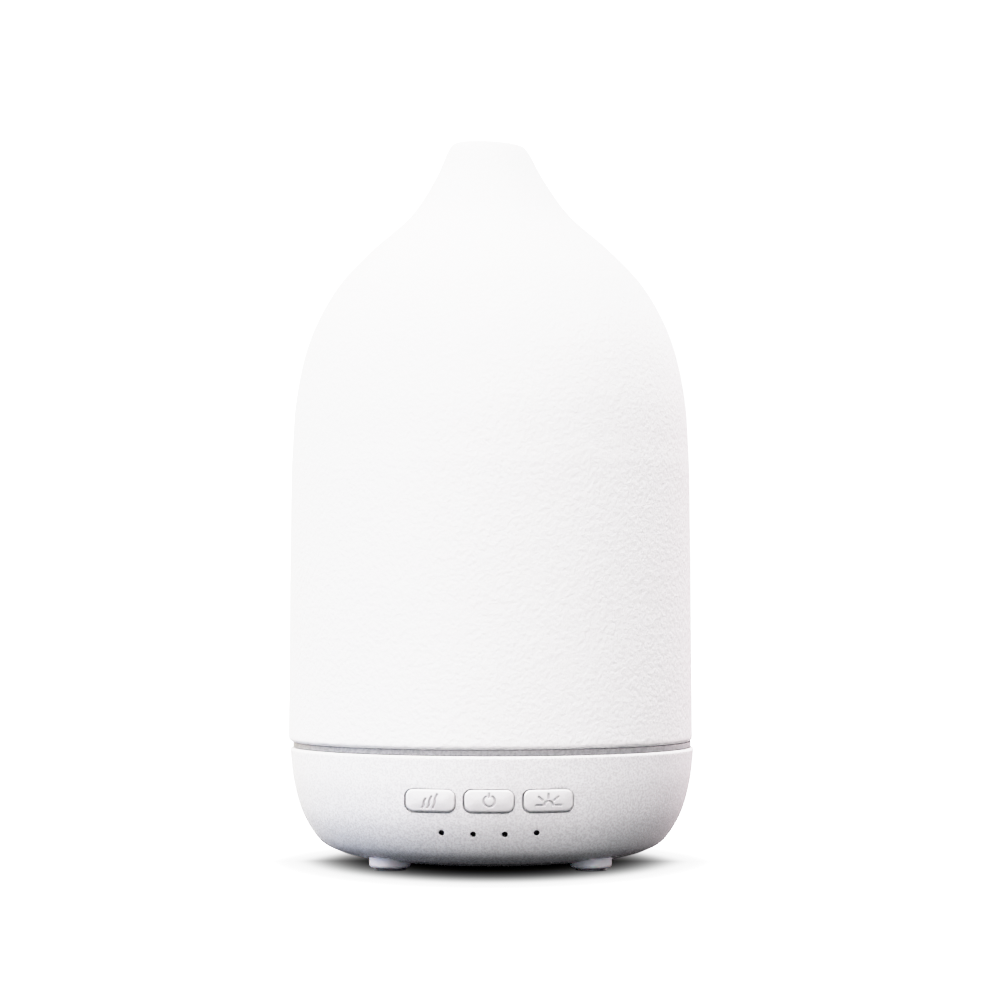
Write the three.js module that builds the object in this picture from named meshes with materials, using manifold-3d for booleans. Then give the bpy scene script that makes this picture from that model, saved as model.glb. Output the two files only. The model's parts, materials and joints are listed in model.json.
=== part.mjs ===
// Ultrasonic essential oil diffuser: a ceramic cover lifts off a round plastic base that
// holds the water tank, the piezo atomiser, the fan and the electronics.
// Millimetres, +Z up. The origin is on the table under the centre, and the keys face -Y.
import * as THREE from "three";
import { mergeVertices } from "three/addons/utils/BufferGeometryUtils.js";
import Module from "manifold-3d";

const wasm = await Module();
wasm.setup();

// ---------------------------------------------------------------- driving dimensions
const HEIGHT = 171; // table to lip
const BODY_R = 48; // widest radius, shared by the cover and the base
const BASE_RIM_Z = 27.3; // top edge of the base shell
const COVER_Z = 28.7; // bottom edge of the ceramic cover
const RING_R = 47.3; // the light ring, as seen in the seam
const COVER_WALL = 3.6;
const MOUTH_R = 5.6; // mist opening in the lip
const SHELL_WALL = 2.2;
const FLOOR_Z = [1.1, 3.95]; // underside and top of the shell's floor
const GAP = 0.3; // clearance round a moving piece

const ROUND = 32; // facets round a large turned piece
const SMALL_ROUND = 12; // facets round a small one

// Screw columns and feet share four places round the floor.
const FOOT_R = 4.8;
const PAD_R = 3.7; // the part of a foot that touches the table
const FOOT_TOP = 3.05;
const COLUMN_XY = 23.1;
const COLUMNS = [
  ["front_left", -COLUMN_XY, -COLUMN_XY],
  ["front_right", COLUMN_XY, -COLUMN_XY],
  ["rear_left", -COLUMN_XY, COLUMN_XY],
  ["rear_right", COLUMN_XY, COLUMN_XY],
];

// Keys: three caps side by side, all sliding along +Y on to a flat switch board.
const KEY = { w: 10.9, h: 4.8, r: 1.3, z: 17.25, pitch: 13.2, proud: 0.35, engraved: 0.15 };
const KEYS = [
  ["mist", -KEY.pitch],
  ["power", 0],
  ["light", KEY.pitch],
];
const SWITCH_BOARD = { w: 42, z0: 8.9, z1: 20.4, y: -34.2, thick: 1.6 };
const SWITCH = { side: 6, depth: 3.4, plungerR: 1.7, plungerY: -38.4 };
const INDICATOR = { z: 9.73, holeR: 0.65 };
const INDICATORS = [
  [-10.65, INDICATOR.z + 0.25],
  [-3.55, INDICATOR.z],
  [3.55, INDICATOR.z],
  [10.65, INDICATOR.z + 0.25],
];

const TANK = { r: 41, wall: 2.2, floor0: 24.1, floor1: 26.1, top: 60, flangeR: 45.7, fill: 48 };
const DUCT = { x0: -37, x1: -27.4, halfY: 7, wall: 1.4, top: 56 }; // air duct in the tank
const LID = { skirtR: 42.8, skirtZ: 54.5, wall: 1.6, chimneyR: 8.4, top: 152 };

const FAN = { x: -18, z: 5.6, side: 30, depth: 8, boreR: 14, hubR: 7.5, pitch: 24, blades: 7 };
const BOARD = { z: 9.35, thick: 1.6, r: 39 };
const BOARD_TOP = BOARD.z + BOARD.thick;
const BOARD_POSTS = [
  [32, 8],
  [4, -26],
];
const JACK = { z: 15, faceY: 41.3, w: 8, depth: 13, seatY: 44, seatR: 5.2, holeR: 3.1 };
const LED_RING = { inner: 36.4, outer: 42.6, z: 21.2, thick: 1.2, pegR: 39.5 };
const CLAMP = { ear: 17.5, z0: 19.6, z1: 21.1 };

// ---------------------------------------------------------------- materials
const paint = (color, roughness, metalness = 0) =>
  new THREE.MeshStandardMaterial({ color, roughness, metalness });
const CERAMIC = paint(0xf4f3f1, 0.85);
const WHITE_PLASTIC = paint(0xeeeceb, 0.6);
const FROSTED = paint(0xe6ebee, 0.35);
const SILICONE = paint(0xd8d8d6, 0.7);
const BLACK_PLASTIC = paint(0x17171a, 0.5);
const GREEN_BOARD = paint(0x1f5a36, 0.45);
const STEEL = paint(0xb9bbbd, 0.35, 1);
const ALUMINIUM = paint(0xa9adb2, 0.4, 1);
const BRASS = paint(0xc9a35a, 0.3, 1);
const COPPER = paint(0xb0683a, 0.35, 1);
const CREAM_NYLON = paint(0xe9e3cf, 0.55);
const RED_WIRE = paint(0xb3201c, 0.5);
const BLACK_WIRE = paint(0x151515, 0.5);
const LED_WHITE = paint(0xf2efd8, 0.4);
const CAN_SLEEVE = paint(0x24405f, 0.4);

// ---------------------------------------------------------------- geometry helpers
const at = (r, z) => new THREE.Vector2(r, z);

// A closed solid from a three.js geometry, with only its positions and shared corners.
function solidFrom(geometry) {
  const bare = new THREE.BufferGeometry();
  bare.setAttribute("position", geometry.getAttribute("position"));
  bare.setIndex(geometry.index);
  const merged = mergeVertices(bare, 1e-4);
  return new wasm.Manifold(
    new wasm.Mesh({
      numProp: 3,
      vertProperties: merged.attributes.position.array,
      triVerts: new Uint32Array(merged.index.array),
    }),
  );
}

function geometryFrom(solid) {
  const mesh = solid.getMesh();
  const geometry = new THREE.BufferGeometry();
  geometry.setAttribute("position", new THREE.BufferAttribute(mesh.vertProperties, 3));
  geometry.setIndex(new THREE.BufferAttribute(mesh.triVerts, 1));
  geometry.computeVertexNormals();
  return geometry;
}

const join = (...all) =>
  geometryFrom(all.map(solidFrom).reduce((sum, next) => sum.add(next)));
const cut = (...all) =>
  geometryFrom(all.map(solidFrom).reduce((left, next) => left.subtract(next)));
const common = (a, b) => geometryFrom(solidFrom(a).intersect(solidFrom(b)));

// Turns a profile of (radius, height) points round Z. The profile closes on itself, or
// starts and ends on the axis.
function lathe(points, facets = ROUND) {
  const onAxis = points[0].x < 1e-6 && points.at(-1).x < 1e-6;
  const loop = onAxis ? [...points] : [...points, points[0].clone()];
  if (THREE.ShapeUtils.area(points) < 0) loop.reverse();
  return new THREE.LatheGeometry(loop, facets).rotateX(Math.PI / 2);
}

const ring = (inner, outer, z0, z1, facets = ROUND) =>
  lathe([at(inner, z0), at(outer, z0), at(outer, z1), at(inner, z1)], facets);
const rod = (r, z0, z1, facets = SMALL_ROUND) =>
  lathe([at(0, z0), at(r, z0), at(r, z1), at(0, z1)], facets);
const box = (x0, x1, y0, y1, z0, z1) =>
  new THREE.BoxGeometry(x1 - x0, y1 - y0, z1 - z0).translate(
    (x0 + x1) / 2,
    (y0 + y1) / 2,
    (z0 + z1) / 2,
  );
// A rod along Y through (x, z).
const crossRod = (r, x, z, y0, y1, facets = SMALL_ROUND) =>
  new THREE.CylinderGeometry(r, r, y1 - y0, facets).translate(x, (y0 + y1) / 2, z);

function roundedRect(w, h, r) {
  const shape = new THREE.Shape();
  const x = w / 2 - r;
  const y = h / 2 - r;
  shape.absarc(x, y, r, 0, Math.PI / 2);
  shape.absarc(-x, y, r, Math.PI / 2, Math.PI);
  shape.absarc(-x, -y, r, Math.PI, 1.5 * Math.PI);
  shape.absarc(x, -y, r, 1.5 * Math.PI, 2 * Math.PI);
  return shape;
}
const extrude = (shape, depth, curveSegments = 4) =>
  new THREE.ExtrudeGeometry(shape, { depth, bevelEnabled: false, curveSegments });
// A rounded bar along Y, centred on (x, z), from y0 to y1.
const crossBar = (w, h, r, x, z, y0, y1) =>
  extrude(roundedRect(w, h, r), y1 - y0).rotateX(Math.PI / 2).translate(x, y1, z);

// Moves a profile sideways, to the left of its direction of travel, by a wall thickness.
function inset(points, wall) {
  return points.map((p, i) => {
    const before = points[Math.max(i - 1, 0)];
    const after = points[Math.min(i + 1, points.length - 1)];
    const along = after.clone().sub(before).normalize();
    return at(p.x - along.y * wall, p.y + along.x * wall);
  });
}

// A cable or lead: a round or flat section swept through a few points.
function lead(points, r, steps = 10, width = 0) {
  const section = new THREE.Shape();
  if (width) {
    section.moveTo(-width / 2, -r);
    section.lineTo(width / 2, -r);
    section.lineTo(width / 2, r);
    section.lineTo(-width / 2, r);
  } else section.absarc(0, 0, r, 0, 2 * Math.PI);
  const path = new THREE.CatmullRomCurve3(points.map((p) => new THREE.Vector3(...p)));
  return new THREE.ExtrudeGeometry(section, { extrudePath: path, steps, curveSegments: 3 });
}

const part = new THREE.Group();
function add(name, geometry, material, parent = part) {
  const mesh = new THREE.Mesh(geometry, material);
  mesh.name = name;
  parent.add(mesh);
  return mesh;
}

// A pan-head screw with a cross recess. Its shank points up from z = 0, its head down.
function screw(shankR, length, headR, headH) {
  const body = join(rod(shankR, -0.1, length, 8), rod(headR, -headH, 0));
  const depth = headH * 0.55;
  const slot = (x, y) => box(-x, x, -y, y, -headH - 1, -headH + depth);
  return cut(body, slot(headR * 0.62, headR * 0.16), slot(headR * 0.16, headR * 0.62));
}

// ---------------------------------------------------------------- ceramic cover
// Straight sides with a slight draft, a round shoulder, a hollow neck and a rolled lip.
function coverWall() {
  const shoulder = new THREE.SplineCurve([
    at(47.45, 94),
    at(46.35, 109.7),
    at(43.1, 123.9),
    at(37, 135.9),
    at(28.8, 145),
    at(19.2, 153.6),
    at(13.35, 162),
    at(9.9, 168.9),
  ]);
  return [at(BODY_R, COVER_Z), ...shoulder.getPoints(12)];
}

function ceramicCover() {
  const outer = coverWall();
  const inner = inset(outer, COVER_WALL).map((p) => at(Math.max(p.x, MOUTH_R), p.y));
  inner[0].y = COVER_Z;
  inner.at(-1).y = HEIGHT - 2.6;
  const lip = [at(9.4, HEIGHT - 0.9), at(8.4, HEIGHT), at(6.5, HEIGHT), at(5.8, HEIGHT - 0.8)];
  return lathe([...outer, ...lip, ...inner.reverse()]);
}

// ---------------------------------------------------------------- lid over the tank
function innerLid() {
  const shoulderZ = 62;
  const dome = new THREE.SplineCurve([
    at(LID.skirtR, shoulderZ),
    at(41, 67.5),
    at(34, 75),
    at(20, 82.5),
    at(11.5, 89),
    at(LID.chimneyR + 0.4, 98),
  ]).getPoints(8);
  const outer = [...dome, at(LID.chimneyR, LID.top)];
  const inner = inset(outer, LID.wall);
  inner[0] = at(TANK.r - TANK.wall - 0.4, TANK.top + 2.4);
  inner.at(-1).y = LID.top;
  const skirtInner = TANK.r + GAP;
  const seat = TANK.top + 0.1;
  return lathe([
    at(skirtInner, LID.skirtZ),
    at(LID.skirtR, LID.skirtZ),
    ...outer,
    ...inner.reverse(),
    at(TANK.r - TANK.wall - 0.4, seat),
    at(skirtInner, seat),
  ]);
}

// ---------------------------------------------------------------- tank and its air duct
function tankHousing() {
  const bore = TANK.r - TANK.wall;
  const cup = lathe([
    at(0, TANK.floor0),
    at(TANK.flangeR, TANK.floor0),
    at(TANK.flangeR, TANK.floor1),
    at(TANK.r, TANK.floor1),
    at(TANK.r, TANK.top),
    at(bore, TANK.top),
    at(bore, TANK.fill + 0.4),
    at(bore - 0.5, TANK.fill),
    at(bore - 0.5, TANK.fill - 0.4),
    at(bore, TANK.fill - 0.8),
    at(bore, TANK.floor1 + 1.5),
    at(bore - 1.5, TANK.floor1),
    at(0, TANK.floor1),
  ]);
  // The duct carries the fan's air to above the water, and opens towards the middle.
  const { x0, x1, halfY, wall, top } = DUCT;
  const duct = box(x0, x1, -halfY, halfY, TANK.floor0 + 0.5, top);
  const ductBore = box(
    x0 + wall, x1 - wall, wall - halfY, halfY - wall, TANK.floor0 - 1, top - wall,
  );
  const ductWindow = box(
    x1 - 2 * wall, x1 + 1, wall - halfY, halfY - wall, top - 6, top - wall,
  );
  const column = rod(3.2, 9.6, TANK.floor0 + 0.5, 12);
  const pilot = rod(1.5, 9, 20, 8);
  const collar = ring(11.8, 13.6, 21.6, TANK.floor0 + 0.5, 24);
  const pegs = ledPegs();
  const earBosses = [-1, 1].map((side) =>
    cut(rod(2.6, CLAMP.z1 + 0.1, TANK.floor0 + 0.5, 12), rod(1.15, 20, 23.6, 8)).translate(
      0, side * CLAMP.ear, 0,
    ),
  );
  const columns = COLUMNS.map(([, x, y]) => column.clone().translate(x, y, 0));
  const solid = join(cup, duct, collar, ...columns, ...earBosses, ...pegs);
  const pilots = COLUMNS.map(([, x, y]) => pilot.clone().translate(x, y, 0));
  return cut(solid, ductBore, ductWindow, rod(8, 20, 30, 24), ...pilots);
}

// Three stepped pegs under the flange hold the LED ring.
function ledPegs() {
  const top = LED_RING.z + LED_RING.thick + 0.1;
  const peg = join(rod(0.9, 20.7, TANK.floor0 + 0.3, 10), rod(1.6, top, TANK.floor0 + 0.3, 10));
  return pegPlaces().map(([x, y]) => peg.clone().translate(x, y, 0));
}
const pegPlaces = () =>
  [90, 210, 330].map((deg) => {
    const a = THREE.MathUtils.degToRad(deg);
    return [LED_RING.pegR * Math.cos(a), LED_RING.pegR * Math.sin(a)];
  });

// ---------------------------------------------------------------- light ring
// Frosted ring seen in the seam. The cover rests on its step and is centred by its lip.
function lightRing() {
  return lathe([
    at(TANK.r + 0.4, TANK.floor1 + 0.05),
    at(45.6, TANK.floor1 + 0.05),
    at(45.6, BASE_RIM_Z + 0.1),
    at(RING_R, BASE_RIM_Z + 0.1),
    at(RING_R, COVER_Z - 0.05),
    at(43.9, COVER_Z - 0.05),
    at(43.9, COVER_Z + 2.7),
    at(TANK.r + 0.4, COVER_Z + 2.7),
  ]);
}

// ---------------------------------------------------------------- base shell
function shellWall() {
  const curve = new THREE.SplineCurve([
    at(BODY_R, BASE_RIM_Z),
    at(47.05, 19.4),
    at(44.9, 11.8),
    at(41, 5.6),
    at(36.8, 3.2),
    at(32.4, 2),
    at(26, FLOOR_Z[0]),
  ]);
  return curve.getPoints(11);
}
// The space inside the shell's outside face, moved in by an offset and up to a height.
function shellSpace(offset, top) {
  const wall = inset(shellWall(), -offset);
  wall[0].y = top;
  const floor = FLOOR_Z[0] + offset;
  const inside = wall.map((p) => at(p.x, Math.max(p.y, floor)));
  return lathe([at(0, top), ...inside, at(0, floor)]);
}

function baseShell() {
  const outside = shellSpace(0, BASE_RIM_Z);
  const cavityTop = 22;
  const wall = inset(shellWall(), -SHELL_WALL).filter((p) => p.y < cavityTop);
  const cavity = lathe([
    at(0, BASE_RIM_Z + 1),
    at(46, BASE_RIM_Z + 1),
    at(46, 23.4),
    at(43.6, 23.4),
    at(43.6, cavityTop),
    at(45, cavityTop - 1.4),
    ...wall.map((p) => at(Math.min(p.x, 45), Math.max(p.y, FLOOR_Z[1]))).slice(1),
    at(0, FLOOR_Z[1]),
  ]);
  const z0 = FLOOR_Z[0] + 1;
  const features = [
    ...COLUMNS.map(([, x, y]) => rod(4.2, z0, 9.4).translate(x, y, 0)),
    ...BOARD_POSTS.map(([x, y]) => rod(2.5, z0, BOARD.z - 0.05, 12).translate(x, y, 0)),
    ...fanHoles().map(([x, y]) => rod(2.4, z0, FAN.z - 0.1, 12).translate(x, y, 0)),
    ring(FAN.boreR + 0.2, FAN.boreR + 1.2, z0, FAN.z - 0.1, 24).translate(FAN.x, 0, 0),
    ...[-1, 1].map((side) => boardGuide(side)),
    crossRod(JACK.seatR + 0.8, 0, JACK.z, JACK.faceY + 0.1, 47, 24),
  ];
  const inside = common(join(...features), outside);
  const cuts = [
    ...COLUMNS.map(([, x, y]) => columnBore().translate(x, y, 0)),
    ...BOARD_POSTS.map(([x, y]) => rod(1.15, FLOOR_Z[0] + 1.2, 12, 8).translate(x, y, 0)),
    ...fanHoles().map(([x, y]) => rod(1.3, FLOOR_Z[0] + 0.8, 8, 8).translate(x, y, 0)),
    ...airSlots(),
    ...KEYS.map(([, x]) => crossBar(
      KEY.w + 2 * GAP, KEY.h + 2 * GAP, KEY.r + GAP, x, KEY.z, -50, -38,
    )),
    ...INDICATORS.map(([x, z]) => crossRod(INDICATOR.holeR, x, z, -47, -37, 10)),
    crossRod(JACK.seatR, 0, JACK.z, JACK.seatY, 50, 24),
    crossRod(JACK.holeR + 0.9, 0, JACK.z, 38, 50, 20),
  ];
  return cut(join(cut(outside, cavity), inside), ...cuts);
}

// Foot recess, screw-head well and clearance hole, up through a column.
const columnBore = () =>
  join(
    rod(FOOT_R + 0.2, -1, FOOT_TOP + 0.1, 16),
    rod(2.95, 2, 6.6),
    rod(1.7, 6, 12, 8),
  );

// A grooved post that holds one end of the switch board.
function boardGuide(side) {
  const { w, y, thick } = SWITCH_BOARD;
  const x = side * (w / 2 + 0.7);
  const post = box(x - 1.7, x + 1.7, y - 2, y + thick + 2, FLOOR_Z[0] + 1, 17);
  const groove = box(
    side > 0 ? x - 2 : x - 0.5, side > 0 ? x + 0.5 : x + 2,
    y - 0.2, y + thick + 0.2, SWITCH_BOARD.z0 - 0.2, 18,
  );
  return cut(post, groove);
}

const fanHoles = () => [
  [FAN.x - FAN.pitch / 2, FAN.pitch / 2],
  [FAN.x + FAN.pitch / 2, -FAN.pitch / 2],
  [FAN.x - FAN.pitch / 2, -FAN.pitch / 2],
  [FAN.x + FAN.pitch / 2, FAN.pitch / 2],
];

// Straight intake slots under the fan, each as long as the fan's bore allows.
function airSlots() {
  const slots = [];
  const slotW = 2;
  for (let y = -10; y <= 10; y += 4) {
    const half = Math.sqrt((FAN.boreR - 1.5) ** 2 - y ** 2);
    slots.push(box(FAN.x - half, FAN.x + half, y - slotW / 2, y + slotW / 2, 0, 5));
  }
  return slots;
}

// ---------------------------------------------------------------- feet and housing screws
function feetAndScrews() {
  const foot = lathe([
    at(0, 0),
    at(PAD_R, 0),
    at(PAD_R, 0.55),
    at(FOOT_R - 0.4, 0.75),
    at(FOOT_R, 1.4),
    at(FOOT_R, FOOT_TOP),
    at(0, FOOT_TOP),
  ], 16);
  const housingScrew = screw(1.35, 12, 2.6, 1.6);
  for (const [place, x, y] of COLUMNS) {
    add(`foot_${place}`, foot, SILICONE).position.set(x, y, 0);
    add(`housing_screw_${place}`, housingScrew, STEEL).position.set(x, y, 6.5);
  }
}

// ---------------------------------------------------------------- key symbols
// Outlines on a cap's face, x to the right and y up.
const LINE = 0.45; // width of a symbol's line
function stroke(x0, y0, x1, y1) {
  const side = new THREE.Vector2(y1 - y0, x0 - x1).setLength(LINE / 2);
  return new THREE.Shape([
    new THREE.Vector2(x0 - side.x, y0 - side.y),
    new THREE.Vector2(x0 + side.x, y0 + side.y),
    new THREE.Vector2(x1 + side.x, y1 + side.y),
    new THREE.Vector2(x1 - side.x, y1 - side.y),
  ]);
}
function arcStroke(r, from, to) {
  const shape = new THREE.Shape();
  shape.absarc(0, 0, r + LINE / 2, from, to);
  shape.absarc(0, 0, r - LINE / 2, to, from, true);
  return shape;
}
// A ray of the sun, from one radius to another at an angle in degrees.
function ray(deg, inner, outer) {
  const a = THREE.MathUtils.degToRad(deg);
  const [c, s] = [Math.cos(a), Math.sin(a)];
  return stroke(inner * c, inner * s, outer * c, outer * s);
}
const SYMBOLS = {
  mist: [0, 1, 2].map((i) => stroke(1.2 * i - 1.8, -1.65, 1.3 * i - 1.05, 0.4 + 0.5 * i)),
  power: [arcStroke(1.2, 0.62 * Math.PI, 2.38 * Math.PI), stroke(0, 0.7, 0, 1.8)],
  light: [
    arcStroke(0.95, 0, Math.PI),
    ray(0, 1.55, 2.75),
    ray(41, 1.75, 2.85),
    ray(90, 1.5, 2.5),
    ray(139, 1.75, 2.85),
    ray(180, 1.55, 2.75),
  ],
};
const SYMBOL_Z = { mist: 0, power: 0, light: -1 }; // a symbol's origin above its key's centre

// ---------------------------------------------------------------- keys and switches
// A cap with an engraved symbol, a flange that stops behind the wall, and a stem on to the
// switch.
function keyCap(name, x) {
  const face = shellSpace(-KEY.proud, BASE_RIM_Z);
  const flangeFront = shellSpace(SHELL_WALL + 0.4, 22.5);
  const flangeBack = shellSpace(SHELL_WALL + 1.6, 23.5);
  const capBack = shellSpace(SHELL_WALL + 1.2, 23.5);
  const bar = (grow) => crossBar(KEY.w + grow, KEY.h + grow, KEY.r, x, KEY.z, -50, -34);
  const cap = cut(common(bar(0), face), capBack);
  const flange = cut(common(bar(1.4), flangeFront), flangeBack);
  const stem = common(
    crossRod(1.9, x, KEY.z, -44, SWITCH.plungerY - 0.05, 12),
    shellSpace(SHELL_WALL + 0.5, 22.5),
  );
  const grooveFloor = shellSpace(KEY.engraved - KEY.proud, BASE_RIM_Z);
  const grooves = SYMBOLS[name].map((shape) => {
    const block = extrude(shape, 6.5).rotateX(Math.PI / 2);
    return cut(block.translate(x, -43.5, KEY.z + SYMBOL_Z[name]), grooveFloor);
  });
  return cut(join(cap, flange, stem), ...grooves);
}

function keysAndSwitches() {
  const { y, thick, w, z0, z1 } = SWITCH_BOARD;
  add("switch_board", box(-w / 2, w / 2, y, y + thick, z0, z1), GREEN_BOARD);
  const front = y - SWITCH.depth;
  const half = SWITCH.side / 2;
  for (const [name, x] of KEYS) {
    const housing = cut(
      box(x - half, x + half, front, y - 0.02, KEY.z - half, KEY.z + half),
      crossRod(SWITCH.plungerR + 0.2, x, KEY.z, front - 1, y - 0.8, 12),
    );
    add(`${name}_switch`, housing, BLACK_PLASTIC);
    add(
      `${name}_plunger`,
      crossRod(SWITCH.plungerR, x, KEY.z, SWITCH.plungerY, y - 1.5, 12),
      CREAM_NYLON,
    );
    add(`${name}_key`, keyCap(name, x), WHITE_PLASTIC);
  }
}

// Four LEDs behind a black block, which keeps each one's light to its own hole.
function indicators() {
  const back = SWITCH_BOARD.y - 0.05;
  const front = common(
    box(-13, 13, -46, back - 0.05, INDICATOR.z - 1.6, INDICATOR.z + 1.6),
    shellSpace(SHELL_WALL + 0.35, 22),
  );
  const bores = INDICATORS.map(([x, z]) => crossRod(0.95, x, z, -47, -30, 10));
  add("indicator_block", cut(front, ...bores), BLACK_PLASTIC);
  INDICATORS.forEach(([x, z], i) => {
    const led = add(`indicator_led_${i + 1}`, box(-0.5, 0.5, -0.8, 0, -0.4, 0.4), LED_WHITE);
    led.position.set(x, back, z);
  });
}

// ---------------------------------------------------------------- piezo atomiser
function piezo() {
  add("piezo_disc", rod(10, 22.05, 23.15, 24), BRASS);
  const seal = lathe([
    at(8.2, 21.2), at(11.6, 21.2), at(11.6, 24.05), at(8.2, 24.05),
    at(8.2, 23.2), at(10.1, 23.2), at(10.1, 22), at(8.2, 22),
  ], 24);
  add("piezo_seal", seal, SILICONE);
  const { ear, z0, z1 } = CLAMP;
  const plate = join(
    rod(14, z0, z1, 24),
    box(-3.2, 3.2, -ear, ear, z0, z1),
    rod(3.2, z0, z1, 12).translate(0, ear, 0),
    rod(3.2, z0, z1, 12).translate(0, -ear, 0),
  );
  const hole = rod(1.2, z0 - 1, z1 + 1, 8);
  const clamp = cut(
    plate,
    rod(6.5, z0 - 1, z1 + 1, 20),
    hole.clone().translate(0, ear, 0),
    hole.clone().translate(0, -ear, 0),
  );
  add("piezo_clamp", clamp, ALUMINIUM);
  const clampScrew = screw(0.95, 3.8, 2.1, 1.3);
  add("piezo_screw_rear", clampScrew, STEEL).position.set(0, ear, z0 - 0.05);
  add("piezo_screw_front", clampScrew, STEEL).position.set(0, -ear, z0 - 0.05);
}

// ---------------------------------------------------------------- fan
function fan() {
  const group = new THREE.Group();
  group.position.set(FAN.x, 0, FAN.z);
  part.add(group);
  const { side, depth, boreR, hubR, pitch, blades } = FAN;
  const hubSeat = 7.2;
  const bush = ring(0.95, 2, 2.4, depth - 0.9, 12);
  const spokes = [90, 210, 330].map((deg) =>
    box(hubSeat - 1, boreR + 0.5, -1, 1, depth - 1, depth).rotateZ(THREE.MathUtils.degToRad(deg)),
  );
  const body = cut(extrude(roundedRect(side, side, 2.5), depth, 3), rod(boreR, -1, 9, 24));
  const corners = [-1, 1].flatMap((i) => [-1, 1].map((j) => [(i * pitch) / 2, (j * pitch) / 2]));
  const holes = corners.map(([x, y]) => rod(1.4, -1, 9, 8).translate(x, y, 0));
  add(
    "fan_frame",
    cut(join(body, rod(hubSeat, depth - 1, depth, 20), bush, ...spokes), ...holes),
    BLACK_PLASTIC,
    group,
  );
  const hub = lathe([
    at(0, 0.9), at(hubR, 0.9), at(hubR, 6.3), at(hubR - 0.7, 6.3),
    at(hubR - 0.7, 1.8), at(0.75, 1.8), at(0.75, 6.8), at(0, 6.8),
  ], 20);
  const vane = box(hubR - 0.4, boreR - 0.7, -0.35, 0.35, -2.9, 2.9);
  const vanes = Array.from({ length: blades }, (_, i) =>
    vane.clone().rotateX(0.75).translate(0, 0, 3.7).rotateZ((i * 2 * Math.PI) / blades),
  );
  add("fan_rotor", join(hub, ...vanes), BLACK_PLASTIC, group);
  const poles = [0, 1, 2, 3].map((i) =>
    box(4, 7, -0.7, 0.7, 2, 8).rotateZ(Math.PI / 4 + (i * Math.PI) / 2),
  );
  add("fan_stator", cut(ring(2.1, 6.2, 2.6, depth - 1.1, 20), ...poles), COPPER, group);
  const fanScrew = screw(1.1, 9.6, 2, 1.3);
  fanHoles().slice(0, 2).forEach(([x, y], i) => {
    const mesh = add(`fan_screw_${i ? "front" : "rear"}`, fanScrew, STEEL);
    mesh.position.set(x, y, FAN.z + depth + 0.05);
    mesh.rotation.x = Math.PI;
  });
}

// ---------------------------------------------------------------- main board
function boardOutline() {
  const frontY = -30;
  const tailX = -8;
  const shape = new THREE.Shape();
  shape.moveTo(-1, frontY);
  const start = Math.asin(frontY / BOARD.r);
  const end = Math.acos(tailX / BOARD.r);
  shape.absarc(0, 0, BOARD.r, start, end);
  shape.lineTo(tailX, 17);
  shape.lineTo(-1, 17);
  return shape;
}

function mainBoard() {
  const sheet = extrude(boardOutline(), BOARD.thick, 8).translate(0, 0, BOARD.z);
  const columnHoles = COLUMNS.map(([, x, y]) => rod(4.6, 5, 15, 14).translate(x, y, 0));
  const screwHoles = BOARD_POSTS.map(([x, y]) => rod(1.3, 5, 15, 8).translate(x, y, 0));
  add("main_board", cut(sheet, ...columnHoles, ...screwHoles), GREEN_BOARD);
  const boardScrew = screw(0.95, 4.4, 2.1, 1.3);
  BOARD_POSTS.forEach(([x, y], i) => {
    const mesh = add(`board_screw_${i + 1}`, boardScrew, STEEL);
    mesh.position.set(x, y, BOARD_TOP + 0.05);
    mesh.rotation.x = Math.PI;
  });
  add("dc_jack", dcJack(), BLACK_PLASTIC);
  const spool = lathe([
    at(0, 0), at(4, 0), at(4, 0.9), at(3, 1.3), at(3, 4.7), at(4, 5.1), at(4, 6), at(0, 6),
  ], 16);
  add("inductor", spool, COPPER).position.set(11, 6, BOARD_TOP + 0.05);
  const can = lathe([
    at(0, 0), at(3.15, 0), at(3.15, 1), at(2.9, 1.4), at(3.15, 1.8), at(3.15, 7.4),
    at(2.7, 7.7), at(0, 7.7),
  ], 12);
  add("capacitor", can, CAN_SLEEVE).position.set(29, -9, BOARD_TOP + 0.05);
  const top = BOARD_TOP + 0.05;
  add("driver_transistor", box(18, 24.5, -1, 5, top, top + 2.3), BLACK_PLASTIC);
  const fins = [0, 1, 2, 3, 4].map((i) => box(-6, 6, i * 2.4 - 5.3, i * 2.4 - 4.2, 0.9, 5.4));
  const sink = join(box(-6, 6, -5.3, 5.4, 0, 1), ...fins);
  add("heat_sink", sink, ALUMINIUM).position.set(22, 3.5, top + 2.35);
  add("controller_chip", box(4, 14, -14, -10, top, top + 1.7), BLACK_PLASTIC);
}

// Barrel socket with its centre pin, its mouth towards +Y.
function dcJack() {
  const { w, depth, faceY, z, holeR } = JACK;
  const body = box(-w / 2, w / 2, faceY - depth, faceY, z - w / 2, z + w / 2);
  const socket = crossRod(holeR, 0, z, faceY - 10, faceY + 1, 20);
  const pin = crossRod(1, 0, z, faceY - 10.5, faceY - 0.8, 10);
  return join(cut(body, socket), pin);
}

// ---------------------------------------------------------------- plugs and leads
const PLUG = { w: 6, d: 4.6, top: BOARD_TOP + 5.6 };
function plug(name, x, y) {
  const body = box(-PLUG.w / 2, PLUG.w / 2, -PLUG.d / 2, PLUG.d / 2, BOARD_TOP + 0.05, PLUG.top);
  add(name, body, CREAM_NYLON).position.set(x, y, 0);
}

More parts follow.
